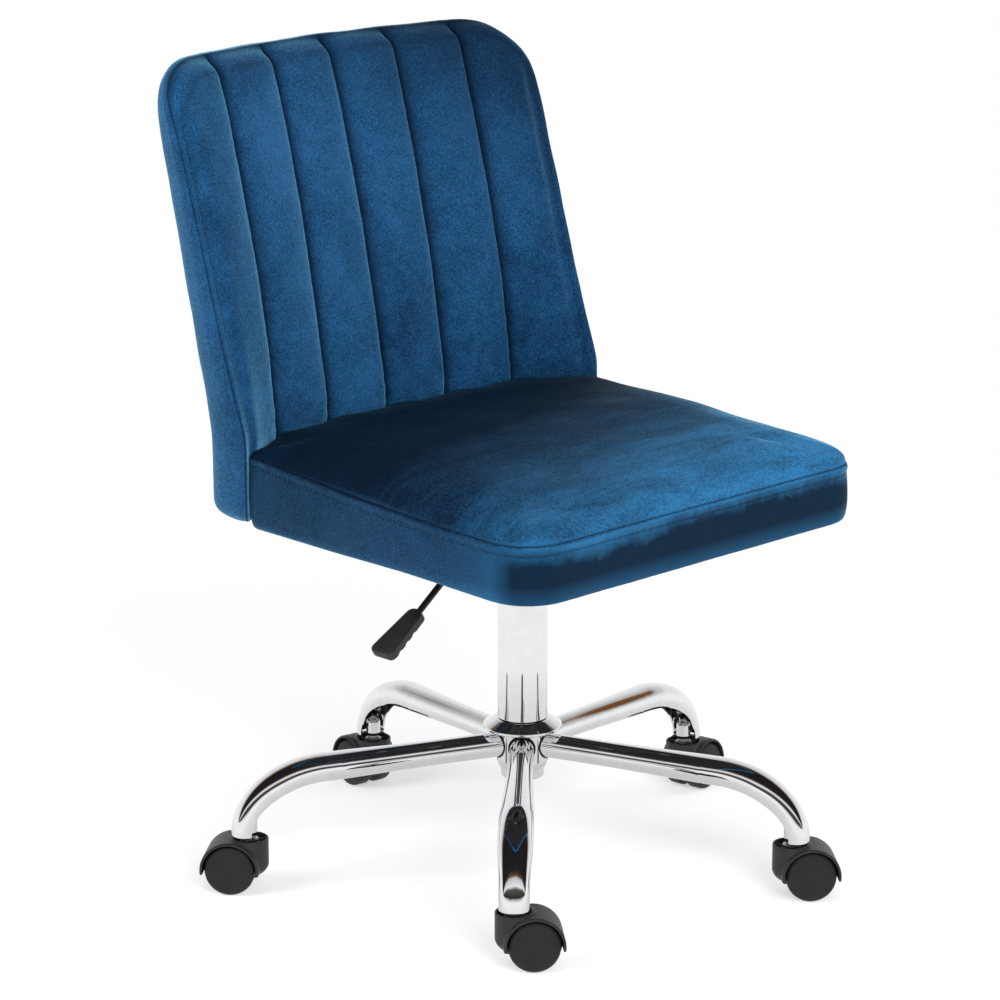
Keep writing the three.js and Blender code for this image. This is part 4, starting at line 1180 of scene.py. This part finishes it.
def columns_beside_seams(offset):
    return [j for j, (x, _) in enumerate(COLUMNS)
            if x is not None and any(abs(x - s - offset) < 0.1 for s in SEAMS)]


def make_back():
    cover = back_cover()
    points = channels_pressed(cover)
    back = place_mesh("back_upholstery", points, cover.faces, MATERIALS["velvet"], None)
    seams = [cover.column(j, EDGE_SEAM_LOOP - 1) for j in columns_beside_seams(0.0)]
    edge_seam, stitched = cover.loop(EDGE_SEAM_LOOP), cover.loop(BACK_STITCH_LOOP)
    behind_seat = [k for k, (x, y, z) in enumerate(points) if z < 446 and y < 225 and abs(x) < 236]
    held = [(chain, 1.0) for chain in seams] + [(edge_seam, 1.0)]
    held += [(ring, 1.0) for ring in cover.rings[-6:]] + [(cover.rear_vertices(), 1.0)]
    held += [(ring, 0.8) for ring in cover.rings[EDGE_SEAM_LOOP + 1:-6]]
    held += [(stitched, 0.6), (behind_seat, 1.0)]
    inflate(back, held, 1.8, 2.4)
    crease(back, [(chain, 1.0) for chain in seams] + [(edge_seam, 0.9), (stitched, 0.25)])
    # painted shade along the topstitching, beside each seam and on the edge seam
    painted_seam_shades = [(stitched, 0.35)]
    for j in range(len(COLUMNS)):
        painted_seam_shades += [(cover.column(j, EDGE_SEAM_LOOP - 1), strength) for offset, strength in SEAM_SHADE_STEPS
                   if j in columns_beside_seams(offset)]
    paint_seam_shade(back, painted_seam_shades + [(edge_seam, 0.9)])
    subdivide(back, 2)

    def amount(local):
        nearest = min(abs(local.x - s) for s in SEAMS)
        low_end = math.exp(-abs(local.z - 455) / 22.0)
        return (0.22 + 1.3 * low_end) * math.exp(-nearest / 12.0) + 0.12, 1.0

    pucker(back, amount)
    declare(back, "back_cushion")

    # Thread along both sides of the front panel
    side = [(x, back_front(x, z) + 0.4, z) for (i, j), (x, z) in zip(cover.border, back_ring(8.0))
            if j == cover.columns and 455 < z < 780]
    thread = stitches("back_topstitch", back, [side, [(-x, y, z) for x, y, z in side]])
    declare(thread, "seat_cushion", False)


def make_back_rear():
    """The outside-back panel, drawn tight over the rear and sewn in all round."""
    grid = back_grid(REAR_PANEL_INSET + 14)
    loops = [on(back_rear, back_ring(REAR_PANEL_INSET + inset), lift) for inset, lift in
             ((4, -5.8), (0.6, -4.6), (0.2, -2.6), (0.6, -0.9), (2.2, 0.3), (5, 0.9), (9, 1.1))]
    cover = Cover(on(back_rear, grid, -6.2), loops, on(back_rear, grid, 1.2))
    panel = place_mesh("back_rear_panel", cover.points, cover.faces, MATERIALS["velvet"], None)
    inflate(panel, [(ring, 1.0) for ring in cover.rings[1:5]] + [(range(cover.front_count), 1.0)], 0.6, 2.5)
    subdivide(panel, 1)
    pucker(panel, lambda local: (0.15, 1.2))
    declare(panel, "back_rear_cover")


def make_back_board():
    """The bent plywood inside the back, its edges eased to stay within the rounded cover."""
    grid = back_grid(BACK_BOARD_INSET + 8)
    loops = [on(back_rear, back_ring(BACK_BOARD_INSET + inset), -depth) for inset, depth in
             ((1.5, 17.0), (0.4, 16.6), (0.0, 15.5), (0.0, 9.5), (0.4, 8.4), (1.5, 8.0))]
    cover = Cover(on(back_rear, grid, -17.0), loops, on(back_rear, grid, -8.0))
    show("back_board", "back_panel", "plywood", (cover.points, cover.faces))


# ---------- Seat ----------
SEAT_HALF, SEAT_FRONT, SEAT_LOW, SEAT_CORNER = 236.5, 240.0, 367.3, 46.0
SEAT_COLUMNS = 38
SEAT_ROWS = 34
SEAT_ARC = 4  # points from the middle of a front corner to each of its ends
SEAT_BORDER = grid_border(SEAT_ROWS, SEAT_COLUMNS)
CROWN_REACH = 60.0
CROWN_INSET = (0, 1.5, 4, 8, 14, 25, 45, 70, 110, 180)
CROWN_HEIGHT = (0, 4.6, 8.8, 13.0, 17.0, 21.2, 24.8, 26.5, 27.6, 28.2)
FOOT_RISE = 4.6  # how far the band is drawn up towards the rear
REAR_FAN = math.pi / 2 * 0.94  # how closely the columns stand at the ends of the rear edge
SCALLOP = 10.0
SEAT_SEAM_LOOP = 9
SEAT_STITCH_LOOP = 12


def along_seat(y):
    return np.clip((np.asarray(y, float) + SEAT_FRONT) / 372, 0, 1)


def seam_height(y):
    return 417 + 25 * along_seat(y) ** 1.5 + 2.5 * (1 - along_seat(y)) ** 2


def crown(inset, y):
    """Height of the top panel above its seam, at a distance inside it."""
    return np.interp(inset, CROWN_INSET, CROWN_HEIGHT) * (1 - 0.65 * smoothstep(along_seat(y), 0.5, 1.05))


def behind(x):
    """y of the front of the back at the height of the seat."""
    return back_front(x, 440.0)


def seat_rear(x):
    """The rear edge: it stays clear of the back, more so where the brackets stand."""
    return float(behind(x) - (7.4 - 5.0 * smoothstep(abs(x), 108, 150)))


def seat_ring():
    """The seat's outline, one point for each border point of the top's grid."""
    corner_x, corner_y = SEAT_HALF - SEAT_CORNER, SEAT_CORNER - SEAT_FRONT
    points = []
    for i, j in SEAT_BORDER:
        u = j / SEAT_COLUMNS * 2 - 1
        steps = min(j, SEAT_COLUMNS - j)
        if i == 0 and steps > SEAT_ARC:
            spot = (corner_x * (j - SEAT_COLUMNS / 2) / (SEAT_COLUMNS / 2 - SEAT_ARC), -SEAT_FRONT)
        elif i == 0 or (steps == 0 and i <= SEAT_ARC):
            angle = math.radians(45 + 45 * (steps if i == 0 else -i) / SEAT_ARC)
            x = corner_x + SEAT_CORNER * math.cos(angle)
            spot = (math.copysign(x, u), corner_y - SEAT_CORNER * math.sin(angle))
        elif i == SEAT_ROWS:
            x = SEAT_HALF * math.sin(u * REAR_FAN) / math.sin(REAR_FAN)
            spot = (x, seat_rear(x))
        else:
            share = (i - SEAT_ARC) / (SEAT_ROWS - SEAT_ARC)
            spot = (math.copysign(SEAT_HALF, u), corner_y + (seat_rear(SEAT_HALF) - corner_y) * share)
        points.append(spot)
    return np.array(points)


def seat_inner():
    """Where the grid of the top panel ends, one point for each of the outline's."""
    points = []
    for i, j in SEAT_BORDER:
        x = (SEAT_HALF - CROWN_REACH) * (j / SEAT_COLUMNS * 2 - 1)
        front, rear = CROWN_REACH - SEAT_FRONT, float(behind(x * 1.1)) - CROWN_REACH
        points.append((x, front + (rear - front) * i / SEAT_ROWS))
    return np.array(points)


def seat_grid(ring):
    """The grid whose border is the ring, with its columns evenly divided."""
    edge = dict(zip(SEAT_BORDER, ring))
    grid = np.zeros((SEAT_ROWS + 1, SEAT_COLUMNS + 1, 2))
    for i in range(SEAT_ROWS + 1):
        v = i / SEAT_ROWS
        for j in range(SEAT_COLUMNS + 1):
            grid[i, j] = edge.get((i, j), edge[(0, j)] * (1 - v) + edge[(SEAT_ROWS, j)] * v)
    return grid


def seat_cover():
    outline, inner = seat_ring(), seat_inner()

    def level(inset, height):
        """A loop of points at a distance inside the outline, or outside it where inset is less than 0."""
        ring = outline + (inner - outline) * (inset / CROWN_REACH)
        z = height(inset, ring[:, 1]) if callable(height) else height
        return np.stack([ring[:, 0], ring[:, 1], z], 1)

    def top(inset, y):
        return seam_height(y) + crown(inset, y)

    seam = seam_height(outline[:, 1])
    belly = SEAT_LOW - FOOT_RISE * (1 - smoothstep(outline[:, 1], -250, -60)) - 0.6  # stays below the board
    foot = belly + FOOT_RISE * smoothstep(outline[:, 1], 20, 150)
    loops = [level(inset, top) for inset in (46, 34, 25, 18, 12, 7, 3.2, 1.0)]
    loops.append(level(0.9, seam))
    loops += [level(-out, seam - drop) for out, drop in
              ((0.7, 2.0), (1.2, 5.0), (0.0, 9.0), (0.8, 12.5), (1.2, 18))]
    loops += [level(-out, (seam - 18) * (1 - share) + (foot + 4) * share) for out, share in
              ((1.5, 0.3), (1.5, 0.55), (1.0, 0.8))]
    loops += [level(inset, foot * drawn + belly * (1 - drawn) + lift) for inset, lift, drawn in
              ((0.4, 3.2, 1.0), (1.6, 1.2, 0.6), (5, 0.0, 0.0), (14, 0.0, 0.0))]
    grid = seat_grid(inner)
    x, y = grid[..., 0], grid[..., 1]
    inset = np.minimum(np.minimum(SEAT_HALF - np.abs(x), y + SEAT_FRONT), behind(x) - 3.0 - y)
    under = seat_grid(level(20, seam)[:, :2])
    rear = np.stack([under[..., 0], under[..., 1], np.full(under.shape[:2], SEAT_LOW + 15.5)], 2)
    return Cover(np.stack([x, y, top(inset, y)], 2), loops, rear)


def make_seat():
    cover = seat_cover()
    # The channels of the back press scallops into the rear edge
    for k, (x, y, z) in enumerate(cover.points):
        near = float(smoothstep(y, behind(x) - 75, behind(x) - 12))
        press = SCALLOP * channel_rise(x) / CHANNEL_DEPTH * float(smoothstep(z, 404, 436)) * near
        cover.points[k, 1] -= press * float(1 - smoothstep(abs(x), 205, 235))
    seat = place_mesh("seat_upholstery", cover.points, cover.faces, SEAT_VELVET_PAINTED, None)
    seam, stitched = cover.loop(SEAT_SEAM_LOOP), cover.loop(SEAT_STITCH_LOOP)
    at_back = [k for k, (x, y, z) in enumerate(cover.points) if y > behind(x) - 12]
    held = [(ring, 0.88) for ring in cover.rings[SEAT_SEAM_LOOP + 1:-4]]
    held += [(ring, 1.0) for ring in (seam, *cover.rings[-4:], cover.rear_vertices(), at_back)]
    # painted shade along the seam and the topstitching
    paint_seam_shade(seat, [(seam, 1.0), (stitched, 0.72)])
    inflate(seat, held, 1.8, 2.6)
    crease(seat, [(seam, 0.95), (stitched, 0.35)])
    subdivide(seat, 2)

    def amount(local):
        down = float(seam_height(local.y)) - local.z
        return 0.12 + 0.5 * math.exp(-abs(down - 4) / 6.0), 1.0 - 0.8 * float(smoothstep(down, 10, 40))

    pucker(seat, amount)
    declare(seat, "seat_cushion")

    # Thread round the sides and the front
    start, stop = (SEAT_BORDER.index((SEAT_ROWS - 1, j)) for j in (SEAT_COLUMNS, 0))
    count = len(SEAT_BORDER)
    path = [(x, y, float(seam_height(y)) - 9.0)
            for x, y in (seat_ring()[k % count] for k in range(stop, start + count + 1))]
    declare(stitches("seat_topstitch", seat, [path]), "seat_cushion", False)


# ---------- Build ----------
make_camera()
make_world()
make_floor()
area_light("key", (-1.5, -3.2, 2.1), (0, 0, 0.55), (1.9, 1.7), 165)
area_light("fill", (2.9, -1.9, 1.7), (0, 0, 0.5), (2.0, 2.0), 30, (0.93, 0.97, 1.0))
area_light("rim", (-2.7, 0.9, 1.9), (0, 0, 0.5), (1.6, 1.6), 75)
area_light("top", (0.3, -0.4, 3.6), (0, 0, 0.4), (2.2, 2.2), 35)
bpy.context.scene.view_settings.view_transform = "Standard"
bpy.context.scene.view_settings.look = "None"

NODE_SLOTS = {  # the CAD nodes that stay in view, by how their names start
    "caster_axle": "steel", "lift_thrust": "steel", "lift_piston": "steel", "lift_retaining": "steel",
    "release_button": "steel", "mechanism_plate": "black_steel", "taper_socket": "black_steel",
    "plate_bolt": "steel", "lever_pivot": "steel", "seat_board": "plywood", "dust_cover": "dust_cloth",
    "back_bracket": "black_steel",
}
for node_name, node in frame["nodes"].items():
    for start, slot_name in NODE_SLOTS.items():
        if node_name.startswith(start):
            node.data.materials.clear()
            node.data.materials.append(MATERIALS[slot_name])

make_hub()
make_lift()
make_legs()
make_casters()
make_lever()
make_seat()
make_back()
make_back_board()
make_back_rear()
